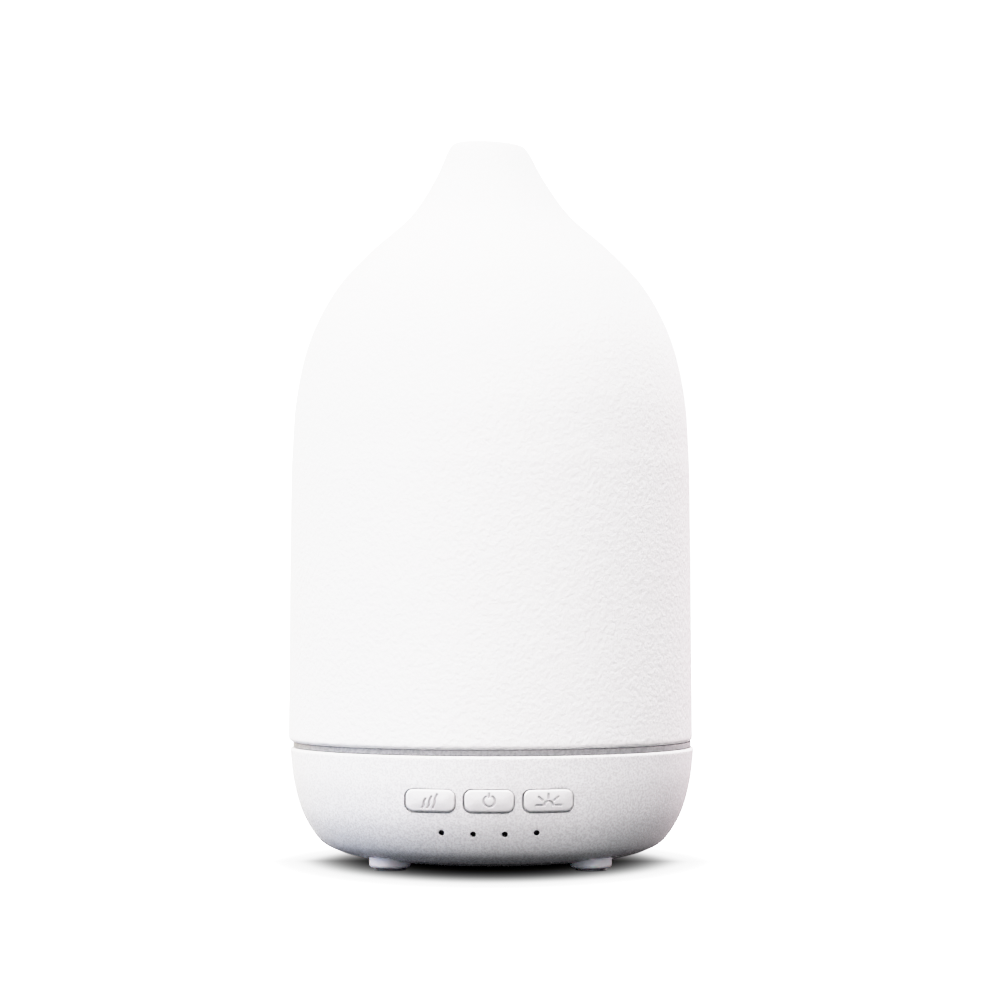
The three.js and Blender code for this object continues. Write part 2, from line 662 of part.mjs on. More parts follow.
function wiring() {
  plug("fan_plug", 3.5, 13);
  plug("piezo_plug", 15, -20);
  const up = PLUG.top + 0.1;
  const fanPath = [
    [-1.8, 6, 9.5],
    [-1.4, 8, 14],
    [1, 11.2, 18.2],
    [3.5, 13, up + 1.2],
    [3.5, 13, up + 0.2],
  ];
  add("fan_lead", lead(fanPath, 0.9, 12), BLACK_WIRE);
  for (const [shade, material, side] of [["red", RED_WIRE, -1], ["black", BLACK_WIRE, 1]]) {
    const x = 2 + 1.5 * side;
    const path = [
      [x, -1, 21.6],
      [x, -2.5, 18.2],
      [10 + side, -14, 18.8],
      [15 + side, -20, up + 1],
      [15 + side, -20, up],
    ];
    add(`piezo_lead_${shade}`, lead(path, 0.5, 12), material);
  }
  const low = BOARD_TOP + 0.1;
  const back = SWITCH_BOARD.y + SWITCH_BOARD.thick + 0.5;
  const switchPath = [
    [4, back, 13],
    [4, back + 0.3, 15],
    [4, back + 4, 18],
    [4, -22, 16],
    [4, -20, low + 2],
    [4, -20, low],
  ];
  add("switch_ribbon", lead(switchPath, 0.3, 12, 5), BLACK_WIRE);
  const lightPath = [
    [14, 37, 20.8],
    [14, 35, 19.8],
    [14, 30, 17],
    [14, 28, low + 2],
    [14, 28, low],
  ];
  add("light_ribbon", lead(lightPath, 0.3, 10, 4), BLACK_WIRE);
}

// ---------------------------------------------------------------- LED ring
function ledRing() {
  const { inner, outer, z, thick } = LED_RING;
  const pegHoles = pegPlaces().map(([x, y]) => rod(1.1, z - 1, z + 3, 8).translate(x, y, 0));
  add("led_ring_board", cut(ring(inner, outer, z, z + thick), ...pegHoles), GREEN_BOARD);
  for (let i = 0; i < 3; i += 1) {
    const led = add(`ring_led_${i + 1}`, box(-1.75, 1.75, -1.4, 1.4, 0, 1.3), LED_WHITE);
    const a = Math.PI / 6 + (i * 2 * Math.PI) / 3;
    led.position.set(LED_RING.pegR * Math.cos(a), LED_RING.pegR * Math.sin(a), z + thick + 0.05);
    led.rotation.z = a + Math.PI / 2;
  }
}

// ---------------------------------------------------------------- assembly
add("ceramic_cover", ceramicCover(), CERAMIC);
add("inner_lid", innerLid(), FROSTED);
add("tank_housing", tankHousing(), FROSTED);
add("light_ring", lightRing(), FROSTED);
add("housing_seal", ring(43.9, 45.4, 23.45, 24.05), SILICONE);
add("base_shell", baseShell(), WHITE_PLASTIC);
feetAndScrews();
keysAndSwitches();
indicators();
piezo();
fan();
mainBoard();
wiring();
ledRing();

export default part;
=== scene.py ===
# Looks of an ultrasonic essential oil diffuser: a stippled ceramic cover on a round base.
# Lengths are millimetres until a mesh is made, and -Y is the front, where the keys are.
import json
import math

import bmesh
import bpy
import numpy as np
from mathutils import Matrix, Vector, noise


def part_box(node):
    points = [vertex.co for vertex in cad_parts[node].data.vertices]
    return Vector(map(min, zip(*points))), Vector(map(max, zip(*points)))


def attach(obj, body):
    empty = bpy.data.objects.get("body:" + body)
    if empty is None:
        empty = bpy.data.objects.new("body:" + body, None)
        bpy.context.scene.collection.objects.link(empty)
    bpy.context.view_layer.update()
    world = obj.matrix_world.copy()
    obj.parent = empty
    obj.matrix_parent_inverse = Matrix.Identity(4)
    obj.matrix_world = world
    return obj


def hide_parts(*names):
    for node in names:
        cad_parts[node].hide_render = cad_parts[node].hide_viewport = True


MM = 0.001
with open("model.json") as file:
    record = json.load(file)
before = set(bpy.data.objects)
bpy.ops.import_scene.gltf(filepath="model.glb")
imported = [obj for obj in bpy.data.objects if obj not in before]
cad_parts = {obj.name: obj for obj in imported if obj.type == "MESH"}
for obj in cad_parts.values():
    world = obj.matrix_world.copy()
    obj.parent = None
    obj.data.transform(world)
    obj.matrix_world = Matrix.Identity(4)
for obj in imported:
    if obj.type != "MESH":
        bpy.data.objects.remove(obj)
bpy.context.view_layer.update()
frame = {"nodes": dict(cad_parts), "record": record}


def span(node):
    """Lowest and highest corner of a CAD node, in millimetres."""
    low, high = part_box(node)
    return low / MM, high / MM


def middle(node):
    """Middle of a CAD node's box, in millimetres."""
    low, high = span(node)
    return (low + high) / 2


# -------------------- sizes from the frame
COVER_LOW, COVER_HIGH = span("ceramic_cover")
SHELL_LOW, SHELL_HIGH = span("base_shell")
LID_LOW, LID_HIGH = span("inner_lid")
TANK_LOW, TANK_HIGH = span("tank_housing")
BODY_R = COVER_HIGH.x
LIP_Z = COVER_HIGH.z
RIM_Z = SHELL_HIGH.z
FLOOR_Z = SHELL_LOW.z
SHELL_WALL = 2.2
FLOOR_TOP = 3.95  # inside face of the shell's floor
COVER_WALL = 3.6
KEY = {"w": 11.0, "h": 4.95, "r": 1.65, "proud": 0.45, "crown": 0.22, "edge": 0.5}
OPENING = {"w": 11.66, "h": 5.6, "r": 1.98}
KEY_REST = (0.12, 0.12)  # how far a cap sits right of and above the middle of its opening
KEY_NAMES = ("mist", "power", "light")
INDICATORS = (1, 2, 3, 4)
CORNERS = ("front_left", "front_right", "rear_left", "rear_right")
FEET = [middle(f"foot_{side}") for side in CORNERS]


# -------------------- outlines
def spline(points, steps):
    """Smooth curve through the points, evenly stepped in its parameter."""
    p = np.array(points, float)
    p = np.vstack([2 * p[0] - p[1], p, 2 * p[-1] - p[-2]])
    curve = []
    for u in np.linspace(0, len(p) - 3, steps + 1):
        i = min(int(u), len(p) - 4)
        t = u - i
        a, b, c, d = p[i:i + 4]
        curve.append(0.5 * (2 * b + (c - a) * t + (2 * a - 5 * b + 4 * c - d) * t ** 2
                            + (3 * b - a - 3 * c + d) * t ** 3))
    return np.array(curve)


def rounded(corners, closed=True):
    """Outline through (x, y) or (x, y, radius) corners, with an arc where a radius is given."""
    outline = []
    count = len(corners)
    for i, corner in enumerate(corners):
        here = Vector(corner[:2])
        inner = closed or 0 < i < count - 1
        if len(corner) < 3 or not inner:
            outline.append(tuple(here))
            continue
        before = (here - Vector(corners[i - 1][:2])).normalized()
        after = (Vector(corners[(i + 1) % count][:2]) - here).normalized()
        turn = math.atan2(before.x * after.y - before.y * after.x, before.dot(after))
        radius = corner[2]
        start = here - before * radius * math.tan(abs(turn) / 2)
        side = Vector((-before.y, before.x)) * math.copysign(radius, turn)
        steps = max(2, math.ceil(abs(turn) / math.radians(15)))
        for k in range(steps + 1):
            a = turn * k / steps
            c, s = math.cos(a), math.sin(a)
            arm = Vector((-side.x * c + side.y * s, -side.x * s - side.y * c))
            outline.append(tuple(start + side + arm))
    return outline


def resample(outline, count):
    """The closed outline as evenly spaced points."""
    p = np.array(outline, float)
    p = np.vstack([p, p[:1]])
    run = np.concatenate([[0], np.cumsum(np.linalg.norm(np.diff(p, axis=0), axis=1))])
    at = np.linspace(0, run[-1], count, endpoint=False)
    return np.column_stack([np.interp(at, run, p[:, 0]), np.interp(at, run, p[:, 1])])


def rounded_rect(w, h, r, count):
    """Points round a rounded rectangle, starting in the middle of its right side."""
    x, y = w / 2, h / 2
    outline = rounded([(x, 0), (x, y, r), (-x, y, r), (-x, -y, r), (x, -y, r)])
    return resample(outline, count)


def circle(r, count):
    a = np.linspace(0, 2 * math.pi, count, endpoint=False)
    return np.column_stack([r * np.cos(a), r * np.sin(a)])


def inset(points, wall):
    """The open curve moved by a wall thickness to the left of its direction of travel."""
    tangent = np.gradient(points, axis=0)
    tangent /= np.linalg.norm(tangent, axis=1)[:, None]
    return points + wall * np.column_stack([-tangent[:, 1], tangent[:, 0]])


# -------------------- meshes
WELD = 0.004


def linked(name, data):
    """A new object in the scene."""
    obj = bpy.data.objects.new(name, data)
    bpy.context.scene.collection.objects.link(obj)
    return obj


def make(name, verts, faces, sharp=35):
    """A smooth-shaded object from points in millimetres, facing out, creased over an angle."""
    mesh = bpy.data.meshes.new(name)
    mesh.from_pydata((np.array(verts, float) * MM).tolist(), [], faces)
    mesh.validate()
    obj = linked(name, mesh)
    shade(obj, sharp)
    return obj


def shade(obj, sharp=35):
    obj.data.shade_smooth()
    obj.data.set_sharp_from_angle(angle=math.radians(sharp))


def skin(rings, closed=False):
    """Faces between rings of vertex numbers; a ring of one vertex is a pole."""
    faces = []
    pairs = list(zip(rings, rings[1:]))
    if closed:
        pairs.append((rings[-1], rings[0]))
    for a, b in pairs:
        n = max(len(a), len(b))
        for j in range(n):
            k = (j + 1) % n
            if len(a) == 1 and len(b) > 1:
                faces.append((a[0], b[k], b[j]))
            elif len(b) == 1 and len(a) > 1:
                faces.append((a[j], a[k], b[0]))
            elif n > 1:
                faces.append((a[j], a[k], b[k], b[j]))
    return faces


def lathe(name, outline, segments, move=None, sharp=35):
    """Turns a (radius, height) outline round Z. It runs up the outside and down the inside."""
    verts, rings = [], []
    ring = circle(1, segments)
    for r, z in outline:
        start = len(verts)
        if r < 1e-6:
            verts.append((0, 0, z))
            rings.append([start])
        else:
            verts += [(r * c, r * s, z) for c, s in ring]
            rings.append(range(start, start + segments))
    verts = np.array(verts)
    if move:
        verts = move(verts)
    closed = outline[0][0] > 1e-6 or outline[-1][0] > 1e-6
    return make(name, verts, skin(rings, closed), sharp)


def turned(name, corners, segments=96):
    """Turns an outline of (radius, height, rounding) corners round Z."""
    return lathe(name, rounded(corners, closed=False), segments)


def loft(name, rings_of_points):
    """A closed solid through rings of 3-D points, with a flat cap on each end."""
    verts, rings = [], []
    for points in rings_of_points:
        rings.append(range(len(verts), len(verts) + len(points)))
        verts += [tuple(p) for p in points]
    faces = skin(rings)
    if len(rings[0]) > 1:
        faces.append(tuple(reversed(rings[0])))
    if len(rings[-1]) > 1:
        faces.append(tuple(rings[-1]))
    return make(name, verts, faces)


def prism(name, outline, low, high, axis="z"):
    """A flat outline drawn out along Z, or along Y with the outline's second axis as Z."""
    def at(level):
        if axis == "z":
            return [(x, y, level) for x, y in outline]
        return [(x, level, z) for x, z in reversed(outline)]
    return loft(name, [at(low), at(high)])


def block(name, low, high):
    outline = [(low[0], low[1]), (high[0], low[1]), (high[0], high[1]), (low[0], high[1])]
    return prism(name, outline, low[2], high[2])


def cross(arm, half, low, high):
    """Two blocks that cross on the Z axis, to cut a recess."""
    return [block("cross", (-x, -y, low), (x, y, high)) for x, y in ((arm, half), (half, arm))]


def rod(r, z0, z1, x=0, y=0, segments=32):
    outline = [(x + px, y + py) for px, py in circle(r, segments)]
    return prism("rod", outline, z0, z1)


def cross_rod(r, x, z, y0, y1, segments):
    outline = [(x + px, z + pz) for px, pz in circle(r, segments)]
    return prism("cross_rod", outline, y0, y1, axis="y")


def bake(obj):
    """Applies the object's modifiers to its mesh."""
    evaluated = obj.evaluated_get(bpy.context.evaluated_depsgraph_get())
    mesh = bpy.data.meshes.new_from_object(evaluated)
    obj.modifiers.clear()
    obj.data = mesh
    return obj


def combine(obj, tools, operation):
    """Joins the tools on to the object (UNION) or cuts them out of it (DIFFERENCE)."""
    for tool in tools:
        step = obj.modifiers.new(operation, "BOOLEAN")
        step.operation = operation
        step.object = tool
        step.solver = "EXACT"
    bake(obj)
    for tool in tools:
        bpy.data.objects.remove(tool)
    shade(obj)
    return obj


def soften(obj, width, segments=2):
    """Rounds the object's sharp edges."""
    edge = obj.modifiers.new("rounded_edges", "BEVEL")
    edge.width = width * MM
    edge.segments = segments
    edge.limit_method = "ANGLE"
    edge.angle_limit = math.radians(40)
    edge.harden_normals = True
    return obj


def moved(obj, x=0, y=0, z=0, turn=None):
    """Shifts the mesh itself, after an optional turn (an angle and an axis letter)."""
    matrix = Matrix.Translation(Vector((x, y, z)) * MM)
    if turn:
        matrix = matrix @ Matrix.Rotation(math.radians(turn[0]), 4, turn[1])
    obj.data.transform(matrix)
    return obj


def place(obj, body, finish, slot, *nodes):
    """Rides a new piece on its body, in place of CAD nodes, with its material."""
    obj.data.materials.clear()
    obj.data.materials.append(finish)
    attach(obj, body)
    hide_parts(*nodes)
    return obj


# -------------------- materials
WAVE_SCALE = 0.31  # a wave texture of scale 1 repeats about every 0.31 units


class Finish:
    """A node material on one Principled surface, built up in layers of procedural texture."""

    def __init__(self, name, colour, roughness, metallic=0.0):
        self.material = bpy.data.materials.new(name)
        self.material.use_nodes = True
        self.tree = self.material.node_tree
        self.surface = self.tree.nodes["Principled BSDF"]
        self.place = self.tree.nodes.new("ShaderNodeTexCoord").outputs["Object"]
        self.surface.inputs["Metallic"].default_value = metallic
        self.surface.inputs["Roughness"].default_value = roughness
        self.colour = self.tree.nodes.new("ShaderNodeRGB").outputs[0]
        self.colour.default_value = (*colour, 1)
        self.height = None
        self.tree.links.new(self.colour, self.surface.inputs["Base Color"])

    def set(self, **values):
        for name, value in values.items():
            self.surface.inputs[name.replace("_", " ")].default_value = value
        return self

    def node(self, kind, settings=None, **links):
        made = self.tree.nodes.new(kind)
        for key, value in (settings or {}).items():
            if hasattr(made, key):
                setattr(made, key, value)
            else:
                made.inputs[key].default_value = value
        for key, source in links.items():
            self.tree.links.new(source, made.inputs[key])
        return made

    def stretched(self, stretch):
        scale = self.node("ShaderNodeMapping", {"Scale": stretch}, Vector=self.place)
        return scale.outputs["Vector"]

    def noise(self, size, detail=3, stretch=(1, 1, 1)):
        """Soft noise with features of about a size in millimetres."""
        settings = {"Scale": 1 / (size * MM), "Detail": detail}
        place = self.stretched(stretch)
        return self.node("ShaderNodeTexNoise", settings, Vector=place).outputs["Fac"]

    def cells(self, size, feature="F1"):
        """Distance to the nearest of scattered points, a size apart."""
        settings = {"feature": feature, "Scale": 1 / (size * MM)}
        return self.node("ShaderNodeTexVoronoi", settings, Vector=self.place).outputs["Distance"]

    def bands(self, size, axis):
        """Even lines across an axis, a size apart."""
        settings = {"bands_direction": axis, "Scale": WAVE_SCALE / (size * MM)}
        return self.node("ShaderNodeTexWave", settings, Vector=self.place).outputs["Fac"]

    def ramp(self, source, low, high, a=0.0, b=1.0):
        """Maps low to high of a source on to a to b, clamped."""
        settings = {"From Min": low, "From Max": high, "To Min": a, "To Max": b}
        return self.node("ShaderNodeMapRange", settings, Value=source).outputs["Result"]

    def tint(self, factor, colour):
        """Blends another colour in by a factor."""
        mix = self.node("ShaderNodeMix", {"data_type": "RGBA"})
        self.tree.links.new(factor, mix.inputs[0])
        self.tree.links.new(self.colour, mix.inputs[6])
        mix.inputs[7].default_value = (*colour, 1)
        self.colour = mix.outputs[2]
        self.tree.links.new(self.colour, self.surface.inputs["Base Color"])
        return self

    def polish(self, factor, low, high):
        """Roughness running from low to high with a factor."""
        self.tree.links.new(self.ramp(factor, 0, 1, low, high), self.surface.inputs["Roughness"])
        return self

    def bump(self, source, depth):
        """Raises the surface with a source, by a depth in millimetres."""
        step = self.node("ShaderNodeBump", {"Distance": depth * MM}, Height=source)
        if self.height:
            self.tree.links.new(self.height, step.inputs["Normal"])
        self.height = step.outputs["Normal"]
        self.tree.links.new(self.height, self.surface.inputs["Normal"])
        return self


def ceramic():
    """Unglazed white ceramic, sprayed to a fine stone-like stipple."""
    f = Finish("ceramic", (0.9, 0.895, 0.89), 0.8)
    f.tint(f.ramp(f.noise(22, 4), 0.4, 0.7), (0.88, 0.87, 0.865))
    f.tint(f.ramp(f.cells(1.7), 0.16, 0.05, 0, 0.35), (0.82, 0.81, 0.8))
    f.polish(f.noise(6), 0.7, 0.9)
    f.bump(f.ramp(f.noise(1.1, 2), 0.35, 0.66), 0.085)
    f.bump(f.noise(0.6, 3), 0.035)
    return f.material


def moulded(name, colour, roughness, grain=0.35, depth=0.012, speckle_shade=0.0):
    """Moulded plastic with a fine spark-eroded grain, which may also carry painted shade speckled
    over that grain.
    """
    f = Finish(name, colour, roughness)
    f.tint(f.ramp(f.noise(14, 3), 0.42, 0.66), tuple(0.96 * c for c in colour))
    if speckle_shade:
        # painted shade: a darker speckle that follows the grain
        grain_shade = f.ramp(f.noise(grain, 2), 0.44, 0.58)
        f.tint(grain_shade, tuple((1 - speckle_shade) * c for c in colour))
    f.polish(f.noise(3), roughness - 0.06, roughness + 0.08)
    f.bump(f.noise(grain, 4), depth)
    return f.material


def key_finish():
    """The keys' plastic, with painted shade darkening the engraved grooves."""
    f = Finish("key_plastic", (0.87, 0.865, 0.865), 0.5)
    f.tint(f.ramp(f.noise(14, 3), 0.42, 0.66), (0.84, 0.83, 0.83))
    f.tint(f.ramp(f.noise(0.5, 2), 0.42, 0.6, 0, 0.5), (0.77, 0.76, 0.76))
    # painted shade in the engraving, darker with the groove's depth
    engraved = f.node("ShaderNodeAttribute", {"attribute_name": "engraved"}).outputs["Fac"]
    f.tint(f.ramp(engraved, 0, 1, 0, 0.75), (0.4, 0.39, 0.4))
    f.polish(f.noise(3), 0.44, 0.58)
    f.bump(f.noise(0.5, 4), 0.03)
    return f.material


def frosted():
    """Frosted polypropylene that lets a little light through."""
    f = Finish("frosted", (0.86, 0.88, 0.9), 0.42)
    f.set(Subsurface_Weight=0.35, Subsurface_Scale=0.004, Transmission_Weight=0.18)
    f.tint(f.ramp(f.noise(18, 3), 0.4, 0.65), (0.82, 0.85, 0.88))
    f.polish(f.noise(4), 0.36, 0.5)
    f.bump(f.noise(0.6, 3), 0.01)
    return f.material


def rubber(name, colour):
    f = Finish(name, colour, 0.62)
    f.set(Subsurface_Weight=0.15, Subsurface_Scale=0.002)
    f.tint(f.ramp(f.noise(5, 4), 0.45, 0.7), tuple(0.88 * c for c in colour))
    f.polish(f.noise(1.5), 0.55, 0.75)
    f.bump(f.noise(0.4, 3), 0.01)
    return f.material


def circuit_board():
    """Green solder mask with raised copper tracks under it."""
    f = Finish("circuit_board", (0.012, 0.1, 0.035), 0.32)
    tracks = f.ramp(f.cells(2.6, "DISTANCE_TO_EDGE"), 0.06, 0.11)
    f.tint(tracks, (0.02, 0.17, 0.06))
    f.tint(f.ramp(f.cells(3.3), 0.13, 0.1), (0.62, 0.5, 0.28))
    f.polish(f.noise(2), 0.25, 0.45)
    f.bump(tracks, 0.03)
    return f.material


def metal(name, colour, roughness, stretch):
    """Plain metal with a brushed or drawn grain along one axis."""
    f = Finish(name, colour, roughness, metallic=1.0)
    f.tint(f.ramp(f.noise(3, 4), 0.45, 0.75), tuple(0.78 * c for c in colour))
    grain = f.noise(0.5, 4, stretch)
    f.polish(grain, roughness - 0.1, roughness + 0.15)
    f.bump(grain, 0.008)
    return f.material


def winding():
    """Enamelled copper wire in even turns, with painted shade darkening the grooves between the
    turns.
    """
    f = Finish("copper_winding", (0.62, 0.24, 0.1), 0.3, metallic=1.0)
    turns = f.bands(0.35, "Z")
    # painted shade in the grooves between turns
    f.tint(f.ramp(turns, 0.35, 0.0), (0.25, 0.07, 0.03))
    f.polish(turns, 0.45, 0.22)
    f.bump(turns, 0.12)
    return f.material


def led_package():
    """White moulded LED with phosphor that shows yellow."""
    f = Finish("led_package", (0.88, 0.86, 0.78), 0.35)
    f.tint(f.ramp(f.noise(1.2, 2), 0.5, 0.6), (0.86, 0.7, 0.22))
    f.polish(f.noise(0.8), 0.25, 0.45)
    f.bump(f.noise(0.3), 0.01)
    return f.material


FINISHES = {
    "ceramic": ceramic(),
    # The last number of base_plastic and ring_plastic is a speckle of painted shade over the grain.
    "base_plastic": moulded("base_plastic", (0.9, 0.895, 0.9), 0.6, 0.45, 0.09, 0.22),
    "key_plastic": key_finish(),
    # ring_plastic is dark grey as painted shade for the recessed seam between cover and base.
    "ring_plastic": moulded("ring_plastic", (0.24, 0.242, 0.25), 0.6, 0.6, 0.05, 0.25),
    "frosted_plastic": frosted(),
    "foot_silicone": rubber("foot_silicone", (0.6, 0.59, 0.62)),
    # dark_rubber is near black; on the foot pads it is partly painted shade.
    "dark_rubber": rubber("dark_rubber", (0.045, 0.045, 0.05)),
    "silicone": rubber("silicone", (0.75, 0.75, 0.72)),
    "black_plastic": moulded("black_plastic", (0.018, 0.018, 0.02), 0.45, 0.3, 0.01),
    "nylon": moulded("nylon", (0.8, 0.76, 0.62), 0.5),
    "circuit_board": circuit_board(),
    "steel": metal("steel", (0.6, 0.6, 0.61), 0.3, (1, 1, 6)),
    "aluminium": metal("aluminium", (0.68, 0.69, 0.71), 0.36, (1, 8, 1)),
    "brass": metal("brass", (0.78, 0.58, 0.3), 0.32, (5, 1, 1)),
    "copper": winding(),
    "can_sleeve": moulded("can_sleeve", (0.02, 0.05, 0.13), 0.35, 0.5, 0.006),
    "red_wire": moulded("red_wire", (0.5, 0.02, 0.015), 0.4, 0.5, 0.006),
    "black_wire": moulded("black_wire", (0.02, 0.02, 0.02), 0.4, 0.5, 0.006),
    "led": led_package(),
    "phosphor": moulded("phosphor", (0.86, 0.68, 0.14), 0.4, 0.4, 0.01),
    # smoked is near black, partly painted shade inside the indicator holes.
    "smoked": moulded("smoked", (0.012, 0.012, 0.014), 0.4, 0.5, 0.004),
}
SLOTS = {row["node"]: row["material_slot"] for row in frame["record"]["subparts"]}


def build(obj, body, *nodes):
    """Places a new piece that stands for CAD nodes, with the finish of the first one's slot."""
    slot = SLOTS[nodes[0]]
    return place(obj, body, FINISHES[slot], slot, *nodes)


# -------------------- ceramic cover
MOUTH_R = 5.6
LIP_TILT = 0.05  # the lip dips to the right, and leans a little to the left
LIP_SHIFT = 0.5
LIP_FROM = 150  # height where the lip's lean starts
COVER_SHIFT = 0.33  # the cover sits a little left of the base's axis
FOOT_ROUNDING = 1.1
SHOULDER_Z = 94


def cover_shoulder(steps):
    """Outside of the cover from the straight wall over the shoulder to the lip."""
    return spline([
        (47.45, SHOULDER_Z),
        (46.35, 109.7),
        (43.1, 123.9),
        (37, 135.9),
        (28.8, 145),
        (19.2, 153.6),
        (13.35, 162),
        (9.9, 168.9),
    ], steps)


def stipple(verts):
    """Moves the outside in and out by the sprayed finish's own relief, and settles the lip."""
    out = verts.copy()
    for i, (x, y, z) in enumerate(verts):
        r = math.hypot(x, y)
        if r < MOUTH_R + 1.2 or z < COVER_LOW.z + 0.7:
            continue
        at = Vector((x, y, z))
        grain = noise.noise(at * 0.42) + 0.6 * noise.noise(at * 0.9 + Vector((7, 3, 1)))
        swell = 1.6 * noise.noise(at * 0.035)
        push = (0.035 * grain + 0.05 * swell) / r
        out[i] = (x + x * push, y + y * push, z)
    high = np.clip((out[:, 2] - LIP_FROM) / (LIP_Z - LIP_FROM), 0, 1) ** 2
    out[:, 2] -= high * LIP_TILT * out[:, 0]
    out[:, 0] -= high * LIP_SHIFT
    return out


def ceramic_cover():
    z = np.linspace(COVER_LOW.z + 1.7, SHOULDER_Z - 1, 86)
    shoulder = cover_shoulder(112)
    wall = np.column_stack([
        np.interp(z, [COVER_LOW.z, SHOULDER_Z], [BODY_R, shoulder[0][0]]), z])
    outside = np.vstack([wall, shoulder])
    inside = inset(np.vstack([wall[::6], shoulder[::4]]), COVER_WALL)[::-1]
    inside = inside[inside[:, 0] > MOUTH_R]
    lip = rounded([
        tuple(outside[-1]),
        (8.6, LIP_Z, 1.3),
        (MOUTH_R, LIP_Z, 1.2),
        (MOUTH_R, inside[0][1]),
    ], closed=False)
    foot = rounded([
        tuple(inside[-1]),
        (BODY_R - COVER_WALL, COVER_LOW.z, 0.7),
        (BODY_R, COVER_LOW.z, FOOT_ROUNDING),
        tuple(outside[0]),
    ], closed=False)
    outline = [*map(tuple, outside), *lip[1:-1], *map(tuple, inside), *foot[1:-1]]
    obj = lathe("ceramic_cover_body", outline, 420, stipple, sharp=60)
    moved(obj, x=-COVER_SHIFT)
    return build(obj, "cover", "ceramic_cover")


# -------------------- base shell
HOLE_R = 0.69
RECESS_R = 5
SCREW_HEAD_BORE = 2.95
SCREW_BORE = 1.7
COLUMN_R = 4.2
COLUMN_TOP = 9.4
BOARD_POST_R = 2.5
BOARD_Z = 9.3
INTAKE_R = 12.5
SEAL_LEDGE = 23.4  # the tank's seal lies on this step inside the rim


def base_wall(steps=40):
    """Outside of the base from the flat floor up to the rim."""
    return spline([
        (BODY_R, RIM_Z),
        (47.05, 19.4),
        (44.9, 11.8),
        (41, 5.6),
        (36.8, 3.2),
        (32.4, 2),
        (26, FLOOR_Z),
    ], steps)[::-1]


WALL = base_wall()


def front(x, z, depth):
    """A point on the base's front wall at (x, z), moved back under the surface by a depth."""
    r = np.interp(z, WALL[:, 1], WALL[:, 0])
    return (x, depth - math.sqrt(r ** 2 - x ** 2), z)


def front_loft(name, shape, x, z, steps):
    """A solid behind the front wall: each step is (growth of the shape, depth)."""
    rings = []
    for grow, depth in steps:
        rings.append([front(x + px, z + pz, depth) for px, pz in shape(grow)][::-1])
    return loft(name, rings)


def lip_steps(lip, depth):
    """From outside the wall, in over a rounded lip, and straight back to a depth."""
    arc = [math.radians(a) for a in (40, 60, 75, 90)]
    round_in = [(lip * (1 - math.sin(a)), lip * (1 - math.cos(a))) for a in arc]
    return [(lip, -1.0), (lip, -0.03), *round_in, (0, depth)]


def key_place(name):
    centre = middle(f"{name}_key")
    return centre.x, centre.z


def key_openings():
    def shape(grow):
        w, h, r = OPENING["w"], OPENING["h"], OPENING["r"]
        return rounded_rect(w + 2 * grow, h + 2 * grow, r + grow, 96)

    steps = lip_steps(0.1, 7)
    return [front_loft("opening", shape, *key_place(name), steps) for name in KEY_NAMES]


def indicator_holes():
    def shape(grow):
        return circle(HOLE_R + grow, 36)

    steps = lip_steps(0.12, 6)
    leds = [middle(f"indicator_led_{i}") for i in INDICATORS]
    return [front_loft("hole", shape, led.x, led.z, steps) for led in leds]


def foot_bores():
    """Under each foot: its recess, the screw head's bore and the screw's own."""
    recess_top = span("foot_front_left")[1].z + 0.1
    bores = []
    for foot in FEET:
        bores.append(rod(RECESS_R, FLOOR_Z - 2, recess_top, foot.x, foot.y, 64))
        bores.append(rod(SCREW_HEAD_BORE, FLOOR_Z, 6.6, foot.x, foot.y))
        bores.append(rod(SCREW_BORE, 6, 12, foot.x, foot.y))
    return bores


def intake_slots():
    """Slots in the floor under the fan, inside a circle."""
    fan_x = middle("fan_frame").x
    slots = []
    for y in range(-10, 11, 4):
        length = 2 * math.sqrt(INTAKE_R ** 2 - y ** 2)
        slot = [(fan_x + px, y + py) for px, py in rounded_rect(length, 2, 0.98, 48)]
        slots.append(prism("slot", slot, 0, 5))
    return slots


def inlet_bores():
    """A countersunk bore for the power lead's plug."""
    z = middle("dc_jack").z
    return [cross_rod(r, 0, z, start, BODY_R + 4, 64) for r, start in ((5.2, 44), (4, 38))]


def inner_posts():
    """Screw columns, board posts and the collar round the power inlet."""
    z0 = FLOOR_Z + 1
    posts = [rod(COLUMN_R, z0, COLUMN_TOP, foot.x, foot.y) for foot in FEET]
    for i in (1, 2):
        axis = middle(f"board_screw_{i}")
        posts.append(rod(BOARD_POST_R, z0, BOARD_Z, axis.x, axis.y))
    posts.append(cross_rod(6, 0, middle("dc_jack").z, 41.4, 44.6, 64))
    return posts


def base_shell():
    rim_bore, ledge_bore, ledge_foot = 46, 43.6, 22
    outside = base_wall(44)
    inside = inset(outside, SHELL_WALL)[::-1]
    inside = [p for p in inside if FLOOR_TOP + 0.2 < p[1] < ledge_foot - 1.4]
    rim = rounded([
        tuple(outside[-2]),
        (BODY_R, RIM_Z, 0.55),
        (rim_bore, RIM_Z, 0.3),
        (rim_bore, SEAL_LEDGE),
        (ledge_bore, SEAL_LEDGE),
        (ledge_bore, ledge_foot),
        tuple(inside[0]),
    ], closed=False)
    outline = [(0, FLOOR_Z), *map(tuple, outside[:-2]), *rim[:-1], *map(tuple, inside)]
    outline += [(31, FLOOR_TOP), (0, FLOOR_TOP)]
    obj = lathe("base_shell_body", outline, 256)
    combine(obj, inner_posts(), "UNION")
    cutters = key_openings() + indicator_holes() + foot_bores() + intake_slots() + inlet_bores()
    combine(obj, cutters, "DIFFERENCE")
    return build(obj, "base", "base_shell")


